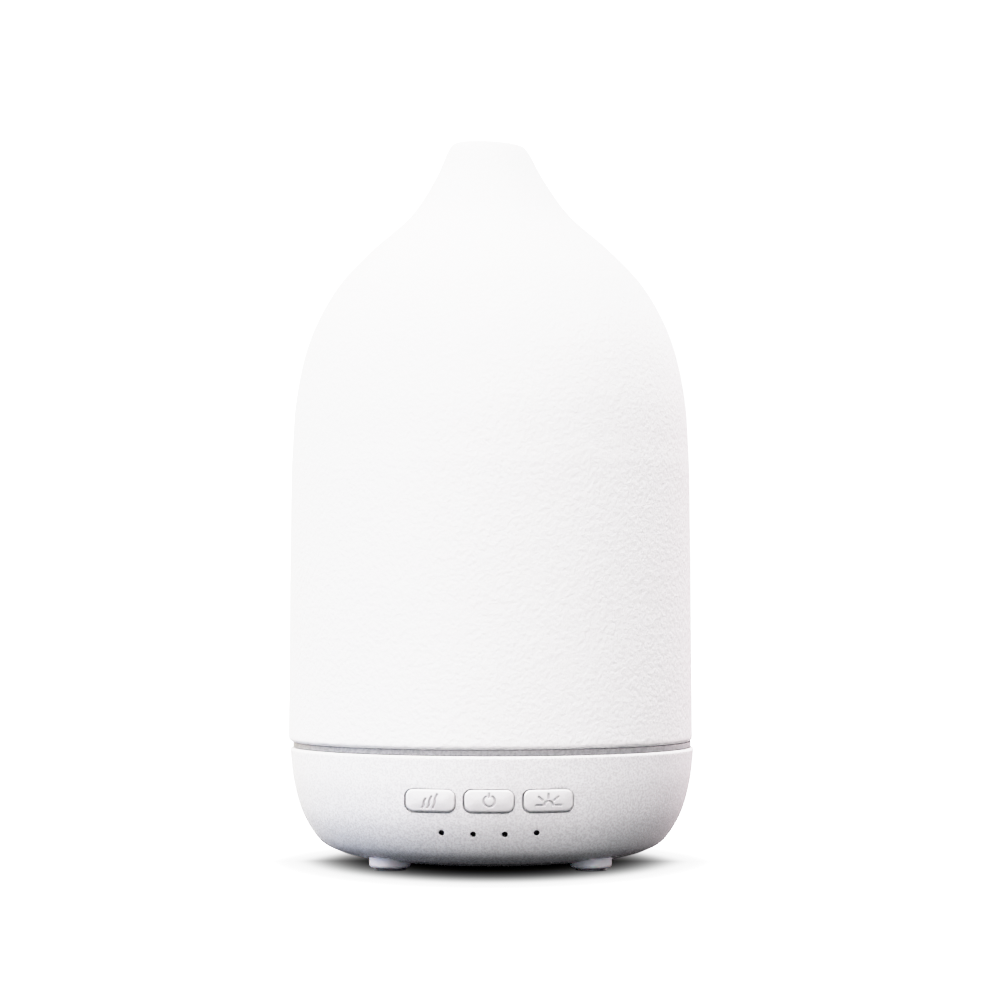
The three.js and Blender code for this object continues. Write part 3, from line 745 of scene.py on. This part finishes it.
# -------------------- keys
def segment_distance(x, z, a, b):
    ax, az = a
    bx, bz = b[0] - ax, b[1] - az
    t = np.clip(((x - ax) * bx + (z - az) * bz) / (bx * bx + bz * bz), 0, 1)
    return np.hypot(x - ax - t * bx, z - az - t * bz)


def chain_distance(x, z, points):
    return np.min([segment_distance(x, z, a, b) for a, b in zip(points, points[1:])], axis=0)


def arc_points(r, start, end):
    return [(r * math.cos(a), r * math.sin(a)) for a in np.linspace(start, end, 24)]


def mist_symbol():
    """Three leaning wisps, each taller than the last."""
    wisps = []
    t = np.linspace(0, 1, 12)
    for i in range(3):
        low, high = 1.2 * i - 1.8, 1.3 * i - 1.05
        lean = low + (high - low) * t + 0.1 * np.sin(2 * math.pi * t)
        wisps.append(list(zip(lean, -1.65 + (2.05 + 0.5 * i) * t)))
    return wisps


def power_symbol():
    ring = arc_points(1.25, 0.7 * math.pi, 2.3 * math.pi)
    return [ring, [(0, 0.85), (0, 1.8)]]


# Each ray's angle, and where it starts and ends.
RAYS = ((0, 1.55, 2.75), (41, 1.75, 2.85), (90, 1.5, 2.5), (139, 1.75, 2.85), (180, 1.55, 2.75))


def light_symbol():
    """Half a sun with rays, set low on its key."""
    horizon = -1.0
    rays = [arc_points(0.95, 0, math.pi)]
    for degrees, near, far in RAYS:
        c, s = math.cos(math.radians(degrees)), math.sin(math.radians(degrees))
        rays.append([(near * c, near * s), (far * c, far * s)])
    return [[(x, z + horizon) for x, z in line] for line in rays]


SYMBOLS = {"mist": mist_symbol(), "power": power_symbol(), "light": light_symbol()}
ENGRAVING = 0.45  # depth of the symbols
STROKE = 0.35  # half the width of a symbol's line, with its sloping side
STROKE_SIDE = 0.22


def groove(name, x, z):
    """Depth of the engraved symbol at points on the cap."""
    lines = [chain_distance(x, z, points) for points in SYMBOLS[name]]
    t = np.clip((STROKE - np.min(lines, axis=0)) / STROKE_SIDE, 0, 1)
    return ENGRAVING * t * t * (3 - 2 * t)


def mark_engraving(obj, name, x0, z0):
    """Stores how deep in the symbol each point of the cap's face lies, from 0 to 1, for the painted
    shade in the grooves.
    """
    points = np.array([v.co for v in obj.data.vertices]) / MM
    x, z = points[:, 0], points[:, 2]
    wall = np.interp(z, WALL[:, 1], WALL[:, 0])
    on_face = points[:, 1] < -np.sqrt(wall ** 2 - x ** 2)
    depth = np.where(on_face, groove(name, x - x0, z - z0) / ENGRAVING, 0)
    obj.data.attributes.new("engraved", "FLOAT", "POINT").data.foreach_set("value", depth)


def key_cap(name):
    """Stem, flange and crowned cap with an engraved symbol, in one closed skin."""
    x0, z0 = key_place(name)
    x0, z0 = x0 + KEY_REST[0], z0 + KEY_REST[1]
    count, top_rings, edge = 360, 52, KEY["edge"]
    stem_r, flange, flange_back, flange_front = 1.9, 0.7, 3.8, 2.6
    plunger_y = span(f"{name}_plunger")[0].y

    def outline(grow):
        return rounded_rect(KEY["w"] + 2 * grow, KEY["h"] + 2 * grow, KEY["r"] + grow, count)

    stem = circle(stem_r, count)
    rings = [
        [(x0 + px, plunger_y - 0.05, z0 + pz) for px, pz in stem],
        [front(x0 + px, z0 + pz, flange_back) for px, pz in stem],
    ]
    sides = [(flange, flange_back), (flange, flange_front), (0, flange_front), (0, 1.4)]
    sides.append((0, edge - KEY["proud"]))
    arc = np.radians((15, 30, 45, 60, 75, 90))
    crown = [(-edge * (1 - math.cos(a)), edge * (1 - math.sin(a)) - KEY["proud"]) for a in arc]
    for grow, depth in sides + crown:
        rings.append([front(x0 + px, z0 + pz, depth) for px, pz in outline(grow)])
    top = outline(-edge)
    reach = (KEY["w"] - KEY["h"]) / 2
    ridge = np.column_stack([np.clip(top[:, 0], -reach, reach), np.zeros(count)])
    for t in np.linspace(0, 1, top_rings)[1:]:
        points = top + (ridge - top) * t
        height = KEY["proud"] + KEY["crown"] * math.sin(t * math.pi / 2)
        height = height - groove(name, points[:, 0], points[:, 1])
        rings.append([front(x0 + px, z0 + pz, -h) for (px, pz), h in zip(points, height)])
    verts, numbers = [], []
    for ring in rings:
        numbers.append(range(len(verts), len(verts) + count))
        verts += ring[::-1]
    faces = skin(numbers)
    faces.append(tuple(reversed(numbers[0])))
    obj = make(f"{name}_key_cap", verts, faces, sharp=50)
    weld(obj)
    mark_engraving(obj, name, x0, z0)
    return build(obj, f"{name}_button", f"{name}_key")


def weld(obj):
    """Merges points that meet, and turns every face out."""
    mesh = bmesh.new()
    mesh.from_mesh(obj.data)
    bmesh.ops.remove_doubles(mesh, verts=mesh.verts, dist=WELD * MM)
    bmesh.ops.dissolve_degenerate(mesh, edges=mesh.edges, dist=1e-7)
    bmesh.ops.recalc_face_normals(mesh, faces=mesh.faces)
    mesh.to_mesh(obj.data)
    mesh.free()
    return obj


# -------------------- feet and light ring
def feet():
    """Each foot is a pale stub with a rounded lower edge, on a narrower dark rubber pad whose
    near-black colour is partly painted shade under the foot.
    """
    pad_top = 0.6
    for side in CORNERS:
        node = f"foot_{side}"
        low, high = span(node)
        x, y = middle(node).xy
        r = (high.x - low.x) / 2
        pad_r = r - 1.1
        stub = turned(f"foot_stub_{side}", [
            (0, pad_top),
            (r, pad_top, 0.9),
            (r, high.z, 0.2),
            (0, high.z),
        ])
        pad = turned(f"foot_pad_and_shade_{side}", [
            (0, 0),
            (pad_r, 0, 0.2),
            (pad_r, pad_top - 0.02, 0.1),
            (0, pad_top - 0.02),
        ])
        build(moved(stub, x, y), "base", node)
        # the pad's near-black rubber is partly real and partly painted shade at the foot's lower
        # edge
        place(moved(pad, x, y), "base", FINISHES["dark_rubber"], "foot_silicone", node)


def light_ring():
    """A ring that stands in the rim, with a step for the cover and a lip that centres it. Its dark
    grey finish is painted shade for the recessed seam under the cover.
    """
    low, high = span("light_ring")
    step = COVER_LOW.z - 0.05
    flange = RIM_Z + 0.1
    skirt_r, lip_r, bore_r = 45.6, 43.9, 41.4
    outline = rounded([
        (skirt_r, low.z),
        (skirt_r, flange),
        (high.x, flange, 0.2),
        (high.x, step, 0.12),
        (lip_r, step, 0.2),
        (lip_r, high.z, 0.4),
        (bore_r, high.z, 0.4),
        (bore_r, low.z),
    ])
    build(lathe("light_ring_body", outline, 256), "base", "light_ring")


# -------------------- inner lid and tank
def inner_lid():
    """Skirt over the tank's rim, dome and chimney."""
    wall, chimney_r = 1.6, 8.4
    skirt_r, skirt_bore, plug_r = LID_HIGH.x, 41.3, 38.4
    seat_z = TANK_HIGH.z + 0.1
    dome = spline([(skirt_r, 62), (41, 67.5), (34, 75), (20, 82.5), (11.5, 89), (8.8, 98)], 48)
    outside = np.vstack([dome, [[chimney_r, LID_HIGH.z - 1]]])
    inside = inset(outside, wall)[::-1]
    tip = rounded([
        tuple(outside[-1]),
        (chimney_r, LID_HIGH.z, 0.5),
        (chimney_r - wall, LID_HIGH.z, 0.5),
        (chimney_r - wall, LID_HIGH.z - 1),
    ], closed=False)
    seat = rounded([
        (plug_r, seat_z + 2.3),
        (plug_r, seat_z),
        (skirt_bore, seat_z),
        (skirt_bore, LID_LOW.z, 0.4),
        (skirt_r, LID_LOW.z, 0.6),
        (skirt_r, 61),
    ], closed=False)
    inside = [tuple(p) for p in inside[1:] if p[0] < plug_r - 0.1]
    outline = [*map(tuple, outside[:-1]), *tip, *inside, *seat]
    build(lathe("inner_lid_body", outline, 192), "lid", "inner_lid")


TANK_R = 41
TANK_BORE = 38.8
TANK_FLOOR = (24.1, 26.1)
FILL_LINE = 47.8  # a bead inside the tank
DUCT_X = -32.2  # the fan blows up through a duct at the tank's left
DUCT_BORE_TOP = 54.6
PIEZO_POSTS_Y = 17.5


def duct_outline(w, h, r):
    return [(DUCT_X + px, py) for px, py in rounded_rect(w, h, r, 48)]


def tank_housing():
    """Tank with an air duct, on a flange that closes the base, and posts for its screws."""
    low, high = TANK_FLOOR
    root = low + 0.5
    bead_r = TANK_BORE - 0.5
    obj = turned("tank_housing_body", [
        (0, low),
        (TANK_HIGH.x, low, 0.3),
        (TANK_HIGH.x, high, 0.3),
        (TANK_R, high, 0.4),
        (TANK_R, TANK_HIGH.z, 0.5),
        (TANK_BORE, TANK_HIGH.z, 0.5),
        (TANK_BORE, FILL_LINE + 0.6, 0.1),
        (bead_r, FILL_LINE + 0.2, 0.1),
        (bead_r, FILL_LINE - 0.2, 0.1),
        (TANK_BORE, FILL_LINE - 0.6, 0.1),
        (TANK_BORE, high, 2),
        (0, high),
    ], 192)
    extra = [prism("duct", duct_outline(9.6, 14, 1), root, 56)]
    extra += [rod(3.2, TANK_LOW.z, root, foot.x, foot.y) for foot in FEET]
    extra += [rod(2.6, 21.2, root, 0, side * PIEZO_POSTS_Y) for side in (-1, 1)]
    combine(obj, extra, "UNION")
    cuts = [
        prism("duct_bore", duct_outline(6.8, 11.2, 0.6), low - 1, DUCT_BORE_TOP),
        block("window", (-30, -5.6, 50), (-26, 5.6, DUCT_BORE_TOP)),
        rod(8, 20, 30, segments=64),
    ]
    cuts += [rod(1.5, 9, 20, foot.x, foot.y) for foot in FEET]
    combine(obj, cuts, "DIFFERENCE")
    build(obj, "base", "tank_housing")


# -------------------- fasteners
PITCH = 0.75


def threaded(r, length):
    """Rings of a thread, from its point at z = 0 up to the head."""
    rings = []
    steps = math.ceil(length / PITCH * 6)
    for z in np.linspace(0, length, steps + 1):
        taper = min(1, 0.2 + z / (1.6 * r))
        ring = []
        for px, py in circle(1, 48):
            phase = (z / PITCH - math.atan2(py, px) / (2 * math.pi)) % 1
            ridge = max(0, 1 - 4 * abs(phase - 0.5))
            radius = r * (0.78 + 0.22 * ridge) * taper
            ring.append((radius * px, radius * py, z))
        rings.append(ring)
    return rings


def screw(node, body, head_up):
    """Thread-forming pan-head screw with a cross recess."""
    low, high = span(node)
    centre = middle(node)
    head_r = (high.x - low.x) / 2
    head_h = 0.62 * head_r
    length = high.z - low.z - head_h
    rings = threaded(0.47 * head_r, length)
    dome = [(head_r, 0), (head_r, 0.45 * head_h)]
    for a in np.radians((25, 45, 65, 80)):
        dome.append((head_r * math.cos(a) ** 0.5, head_h * (0.45 + 0.55 * math.sin(a))))
    for r, z in dome:
        rings.append([(r * px, r * py, length + z) for px, py in circle(1, 48)])
    obj = loft(f"{node}_body", rings)
    top = length + head_h
    recess = cross(0.6 * head_r, 0.13 * head_r, top - 0.5 * head_h, top + 1)
    combine(obj, recess, "DIFFERENCE")
    if head_up:
        moved(obj, centre.x, centre.y, low.z)
    else:
        moved(obj, centre.x, centre.y, high.z, (180, "X"))
    return build(obj, body, node)


def screws():
    for side in CORNERS:
        screw(f"housing_screw_{side}", "base", False)
    for side in ("front", "rear"):
        screw(f"piezo_screw_{side}", "base", False)
        screw(f"fan_screw_{side}", "base", True)
    for i in (1, 2):
        screw(f"board_screw_{i}", "base", True)


# -------------------- fan
BLADE = {"root": 7.1, "tip": 13.3, "chord": 2.7, "camber": 0.45, "thick": 0.32, "middle": 3.7}


def fan_blade():
    """A cambered, twisted blade that sweeps forward towards its tip."""
    rings = []
    along = np.linspace(-1, 1, 11)
    for u in np.linspace(0, 1, 9):
        r = BLADE["root"] + (BLADE["tip"] - BLADE["root"]) * u
        pitch = 0.55 + 0.35 * u
        section = []
        for side, run in ((1, along), (-1, along[::-1])):
            for v in run:
                bulge = BLADE["camber"] * (1 - v * v) + side * BLADE["thick"] * (1 - 0.8 * v * v)
                around = -BLADE["chord"] * v * math.sin(pitch) + bulge * math.cos(pitch)
                height = BLADE["chord"] * v * math.cos(pitch) + bulge * math.sin(pitch)
                a = around / r + 0.35 * u * u
                section.append((r * math.cos(a), r * math.sin(a), BLADE["middle"] + height))
        rings.append(section)
    return weld(loft("blade", rings))


def fan_rotor():
    centre = middle("fan_frame")
    hub = turned("fan_rotor_body", [
        (0, 0.9),
        (7.5, 0.9, 0.7),
        (7.5, 6.3, 0.2),
        (6.8, 6.3, 0.2),
        (6.8, 1.8, 0.4),
        (0.75, 1.8, 0.3),
        (0.75, 6.8, 0.2),
        (0, 6.8),
    ])
    blades = [moved(fan_blade(), turn=(360 * i / 7, "Z")) for i in range(7)]
    combine(hub, blades, "UNION")
    moved(hub, centre.x, centre.y, span("fan_frame")[0].z)
    build(hub, "fan", "fan_rotor")


# -------------------- board parts
def gather(name, objs):
    """One object made of separate solids."""
    mesh = bmesh.new()
    for obj in objs:
        mesh.from_mesh(obj.data)
        bpy.data.objects.remove(obj)
    data = bpy.data.meshes.new(name)
    mesh.to_mesh(data)
    mesh.free()
    joined = linked(name, data)
    shade(joined)
    return joined


def capacitor():
    """Can capacitor: a sleeve with a crimp near its foot, and a scored vent in its top."""
    low, high = span("capacitor")
    centre = middle("capacitor")
    r = (high.x - low.x) / 2
    obj = turned("capacitor_can", [
        (0, low.z),
        (r, low.z, 0.3),
        (r, low.z + 0.9, 0.2),
        (r - 0.3, low.z + 1.35, 0.3),
        (r, low.z + 1.8, 0.2),
        (r, high.z, 0.5),
        (r - 0.6, high.z, 0.15),
        (r - 0.7, high.z - 0.25, 0.1),
        (0, high.z - 0.25),
    ])
    combine(obj, cross(1.7, 0.12, high.z - 0.45, high.z + 1), "DIFFERENCE")
    build(moved(obj, centre.x, centre.y), "base", "capacitor")


def inductor():
    """Drum core of black ferrite, wound with enamelled wire."""
    low, high = span("inductor")
    centre = middle("inductor")
    r = (high.x - low.x) / 2
    core = turned("inductor_core", [
        (0, low.z),
        (r, low.z, 0.2),
        (r, low.z + 0.9, 0.3),
        (2, low.z + 1.1),
        (2, high.z - 1.1),
        (r, high.z - 0.9, 0.3),
        (r, high.z, 0.2),
        (0, high.z),
    ])
    moved(core, centre.x, centre.y)
    place(core, "base", FINISHES["black_plastic"], "black_plastic", "inductor")
    wire, turns = 0.19, 10
    z = np.linspace(low.z + 1.15, high.z - 1.15, 12 * turns + 1)
    bulge = wire * np.abs(np.sin(np.linspace(0, turns * math.pi, len(z))))
    outline = [(2.1, z[0]), *zip(3.1 + bulge, z), (2.1, z[-1])]
    build(moved(lathe("inductor_winding", outline, 96), centre.x, centre.y), "base", "inductor")


def leg(reach, top, width, thick=0.16):
    """A gull-wing leg along +X: out of the package, down, and flat on the board."""
    knee, toe = 0.45 * reach, reach
    outline = rounded([
        (0, top, 0),
        (knee, top, 0.1),
        (knee + 0.12, thick, 0.1),
        (toe, thick),
        (toe, 0),
        (knee - 0.02, 0, 0.15),
        (knee - 0.14, top - thick, 0.1),
        (0, top - thick, 0),
    ][::-1])
    return prism("leg", outline, -width / 2, width / 2, axis="y")


def controller_chip():
    """Chip with a mark at its first leg, and a row of legs on each side."""
    low, high = span("controller_chip")
    centre = middle("controller_chip")
    half_body, reach, pins, apart = 1.35, 0.95, 7, 1.27
    body = block(
        "controller_chip_body",
        (low.x, centre.y - half_body, low.z + 0.12),
        (high.x, centre.y + half_body, high.z),
    )
    mark = rod(0.3, high.z - 0.1, high.z + 1, low.x + 0.9, centre.y - 0.75)
    combine(body, [mark], "DIFFERENCE")
    build(soften(body, 0.14, 2), "base", "controller_chip")
    legs = []
    for i in range(pins):
        x = centre.x + (i - (pins - 1) / 2) * apart
        for side in (-1, 1):
            y = centre.y + side * (half_body - 0.3)
            legs.append(moved(leg(reach, 0.85, 0.4), x, y, low.z, (90 * side, "Z")))
    legs = gather("controller_chip_legs", legs)
    place(legs, "base", FINISHES["steel"], "steel", "controller_chip")


def driver_transistor():
    """Flat package with its tab and three legs on the board."""
    low, high = span("driver_transistor")
    middle_y = middle("driver_transistor").y
    legs_x = low.x + 1.7
    body = block(
        "driver_transistor_body", (low.x + 1.3, low.y, low.z + 0.1), (high.x - 0.5, high.y, high.z))
    build(soften(body, 0.2, 3), "base", "driver_transistor")
    legs = [block("tab", (high.x - 2, low.y + 0.5, low.z), (high.x, high.y - 0.5, low.z + 0.5))]
    for y in (-2, 0, 2):
        legs.append(moved(leg(1.7, 1.1, 0.7, 0.3), legs_x, middle_y + y, low.z, (180, "Z")))
    legs = gather("driver_transistor_legs", legs)
    place(legs, "base", FINISHES["steel"], "steel", "driver_transistor")


def plug(node):
    """Nylon wire housing in its header: a latch rib and a slot over each contact."""
    low, high = span(node)
    x, y = middle(node).xy
    above = high.z + 1
    obj = block(f"{node}_housing", low, high)
    cuts = []
    for contact in (x - 1.25, x + 1.25):
        cuts.append(block(
            "slot", (contact - 0.5, low.y - 1, low.z + 2), (contact + 0.5, low.y + 0.5, above)))
        cuts.append(block(
            "hole", (contact - 0.6, y - 0.7, high.z - 1.2), (contact + 0.6, y + 0.7, above)))
    for start, end in ((low.x - 1, x - 1.6), (x + 1.6, high.x + 1)):
        cuts.append(block("step", (start, high.y - 0.5, low.z + 2.6), (end, high.y + 1, above)))
    combine(obj, cuts, "DIFFERENCE")
    build(soften(obj, 0.15, 2), "base", node)


def ring_led(i):
    """White LED package with a round well of phosphor, square on to the ring."""
    node = f"ring_led_{i}"
    low, high = span(node)
    centre = middle(node)
    turn = (math.degrees(math.atan2(centre.y, centre.x)) + 90, "Z")
    height = high.z - low.z
    package = block(f"{node}_package", (-1.75, -1.4, 0), (1.75, 1.4, height))
    combine(package, [rod(1.15, height - 0.25, height + 1)], "DIFFERENCE")
    lens = turned(f"{node}_phosphor", [
        (0, height - 0.3),
        (1.13, height - 0.3),
        (1.13, height - 0.15, 0.05),
        (0.6, height - 0.05, 1),
        (0, height - 0.04),
    ], 48)
    build(moved(soften(package, 0.08, 2), centre.x, centre.y, low.z, turn), "base", node)
    place(moved(lens, centre.x, centre.y, low.z), "base", FINISHES["phosphor"], "led", node)


def indicator_lens(i):
    """Smoked lens over an indicator LED, filling its bore in the light block. Its near-black colour
    is partly painted shade inside the hole.
    """
    node = f"indicator_led_{i}"
    led = middle(node)
    r, length = 0.9, 2.6
    lens = turned(f"{node}_lens", [
        (0, 0),
        (r, 0),
        (r, length, 0.7),
        (0, length),
    ], 48)
    moved(lens, led.x, span(node)[1].y, led.z, (90, "X"))
    place(lens, "base", FINISHES["smoked"], "led", node)


# -------------------- studio
class Wiring:
    """Short calls for building a node tree."""

    def __init__(self, tree):
        self.tree = tree
        tree.nodes.clear()

    def node(self, kind, name="", **values):
        made = self.tree.nodes.new(kind)
        made.name = name or made.name
        for key, value in values.items():
            made.inputs[key.replace("_", " ")].default_value = value
        return made

    def link(self, source, target, socket, output=0):
        self.tree.links.new(source.outputs[output], target.inputs[socket])

    def mix(self, factor, first, second, output=0):
        made = self.node("ShaderNodeMixShader")
        self.link(factor, made, 0, output)
        self.link(first, made, 1)
        self.link(second, made, 2)
        return made


def grey(level):
    return (level, level, level, 1)


# The table by the feet as the camera sees it, near black under the painted shadow, and the table
# that lights the object from below.
TABLE_SEEN = 0.03
TABLE_BOUNCE = 0.12
SWEEP = 12  # strength of the white that the table fades to
SKY = 10
# The painted shadow's fade runs over the distance from the object, in an oval that is stretched and
# shifted.
SWEEP_SHIFT = (0, 24.6 * MM, 0)
SWEEP_STRETCH = (1.685, 1, 0)
SWEEP_FROM = 31.5 * MM
SWEEP_TO = 101.4 * MM
SWEEP_RISE = 7  # power of the distance


def floor():
    """A white sweep with a painted shadow, darker close to the feet, that throws only a little
    light back up.
    """
    size = 3000
    verts = [(-size, -size, 0), (size, -size, 0), (size, size, 0), (-size, size, 0)]
    obj = make("studio_floor", verts, [(0, 1, 2, 3)])
    material = bpy.data.materials.new("studio_floor")
    material.use_nodes = True
    w = Wiring(material.node_tree)
    place = w.node("ShaderNodeTexCoord")
    grain = w.node("ShaderNodeTexNoise", Scale=90)
    w.link(place, grain, "Vector", "Object")
    tone = w.node("ShaderNodeMapRange", To_Min=TABLE_SEEN * 0.98, To_Max=TABLE_SEEN * 1.02)
    w.link(grain, tone, "Value")
    seen = w.node("ShaderNodeBsdfDiffuse")
    w.link(tone, seen, "Color")
    mirrored = w.node("ShaderNodeVectorMath")
    mirrored.operation = "ABSOLUTE"
    w.link(place, mirrored, 0, "Object")
    stretch = w.node("ShaderNodeMapping", Location=SWEEP_SHIFT, Scale=SWEEP_STRETCH)
    w.link(mirrored, stretch, "Vector")
    radius = w.node("ShaderNodeVectorMath")
    radius.operation = "LENGTH"
    w.link(stretch, radius, 0)
    # painted shadow: near the object the camera sees the near-black table, fading out to the white
    # sweep
    reach = w.node("ShaderNodeMapRange", From_Min=SWEEP_FROM, From_Max=SWEEP_TO)
    w.link(radius, reach, "Value", "Value")
    shadow_fade = w.node("ShaderNodeMath")
    shadow_fade.operation = "POWER"
    shadow_fade.inputs[1].default_value = SWEEP_RISE
    w.link(reach, shadow_fade, 0)
    sweep = w.node("ShaderNodeEmission", Strength=SWEEP)
    bounced = w.node("ShaderNodeBsdfDiffuse", Color=grey(TABLE_BOUNCE))
    ray = w.node("ShaderNodeLightPath")
    surface = w.mix(ray, bounced, w.mix(shadow_fade, seen, sweep), "Is Camera Ray")
    w.link(surface, w.node("ShaderNodeOutputMaterial"), "Surface")
    obj.data.materials.append(material)
    return obj


def surroundings():
    """White to the camera, and dark to the object, which only the softboxes light."""
    world = bpy.data.worlds.new("studio")
    bpy.context.scene.world = world
    world.use_nodes = True
    w = Wiring(world.node_tree)
    sky = w.node("ShaderNodeBackground", "sky", Strength=0.0)
    plain = w.node("ShaderNodeBackground", Strength=SKY)
    ray = w.node("ShaderNodeLightPath")
    w.link(w.mix(ray, sky, plain, "Is Camera Ray"), w.node("ShaderNodeOutputWorld"), "Surface")


def softbox(name, place, size, power, colour):
    """A square light that faces the object's middle and isn't seen itself. Place is in metres."""
    light = bpy.data.lights.new(name, "AREA")
    light.size = size
    light.energy = power
    light.color = colour
    obj = linked(name, light)
    obj.visible_camera = False
    obj.location = place
    aim = Vector((0, 0, 0.08)) - Vector(place)
    obj.rotation_euler = aim.to_track_quat("-Z", "Y").to_euler()
    return obj


def flag(light, obj, state):
    """Keeps a light on one object only (INCLUDE), or off it (EXCLUDE)."""
    group = bpy.data.collections.new(light.name)
    group.objects.link(obj)
    group.collection_objects[0].light_linking.link_state = state
    light.light_linking.receiver_collection = group


# Each softbox's place in metres, its size, its watts and its colour.
SOFTBOXES = (
    ("left", (-1.3, -0.1, 0.25), 0.7, 8.5, (0.65, 0.75, 1)),
    ("left_back", (-0.9, 0.9, 0.4), 0.8, 12, (1, 0.83, 0.6)),
    ("right_back", (0.9, 0.9, 0.4), 0.8, 16.7, (1, 0.86, 0.9)),
    ("front", (0, -1.3, 0.35), 0.9, 3.6, (0.84, 0.9, 1)),
    ("top", (0, -0.1, 1.4), 1, 26, (1, 1, 1)),
    ("top_front", (0, -1, 1), 0.9, 21.5, (1, 0.925, 0.93)),
    ("top_left", (-0.9, -0.3, 1), 0.7, 17.5, (1, 0.955, 0.91)),
)
TABLE_LIGHT = ("table", (0, 0, 1.4), 1.6, 20, (1, 1, 1))


# Brightness x shows as CEILING * (1 - exp(-x / KNEE)) up to the glare, and as white from
# RESPONSE_WHITE up.
CEILING = 0.953
KNEE = 0.36
RESPONSE_WHITE = 4.0
GLARE = ((2.5, 0.963), (3.2, 0.98))  # how the brightest tones run up to white


def camera_response():
    """A soft shoulder, as a camera's own processing gives."""
    view = bpy.context.scene.view_settings
    view.view_transform = "Standard"
    view.use_curve_mapping = True
    mapping = view.curve_mapping
    mapping.white_level = (RESPONSE_WHITE, RESPONSE_WHITE, RESPONSE_WHITE)
    combined = mapping.curves[3]
    for x in (0.05, 0.1, 0.2, 0.3, 0.45, 0.65, 0.9, 1.3, 1.8):
        shown = CEILING * (1 - math.exp(-x / KNEE))
        combined.points.new(x / RESPONSE_WHITE, shown)
    for x, shown in GLARE:
        combined.points.new(x / RESPONSE_WHITE, shown)
    mapping.update()


def camera():
    """Eye a little above the table, tilted up, with a long lens."""
    data = bpy.data.cameras.new("camera")
    data.lens = 105.5
    data.sensor_width = 36
    data.clip_start = 0.01
    obj = linked("camera", data)
    distance, height = 0.7, 0.0612
    round_right, tilt_up, swing = (math.radians(a) for a in (0.9, 2.03, 0.156))
    obj.location = (distance * math.sin(round_right), -distance * math.cos(round_right), height)
    obj.rotation_euler = (math.pi / 2 + tilt_up, 0, round_right - swing)
    bpy.context.scene.camera = obj


# -------------------- assembly
ceramic_cover()
base_shell()
for key_name in KEY_NAMES:
    key_cap(key_name)
feet()
light_ring()
inner_lid()
tank_housing()
screws()
fan_rotor()
capacitor()
inductor()
controller_chip()
driver_transistor()
for name in ("fan_plug", "piezo_plug"):
    plug(name)
for number in (1, 2, 3):
    ring_led(number)
for number in INDICATORS:
    indicator_lens(number)

for node, obj in frame["nodes"].items():
    obj.data.materials.clear()
    obj.data.materials.append(FINISHES[SLOTS[node]])
    if obj.hide_render:
        continue
    soften(obj, 0.12)
    if node.endswith(("_lead", "_ribbon", "_red", "_black")):
        smooth = obj.modifiers.new("smooth", "SUBSURF")
        smooth.levels = smooth.render_levels = 2

table = floor()
surroundings()
for row in SOFTBOXES:
    flag(softbox(*row), table, "EXCLUDE")
flag(softbox(*TABLE_LIGHT), table, "INCLUDE")
camera()
camera_response()
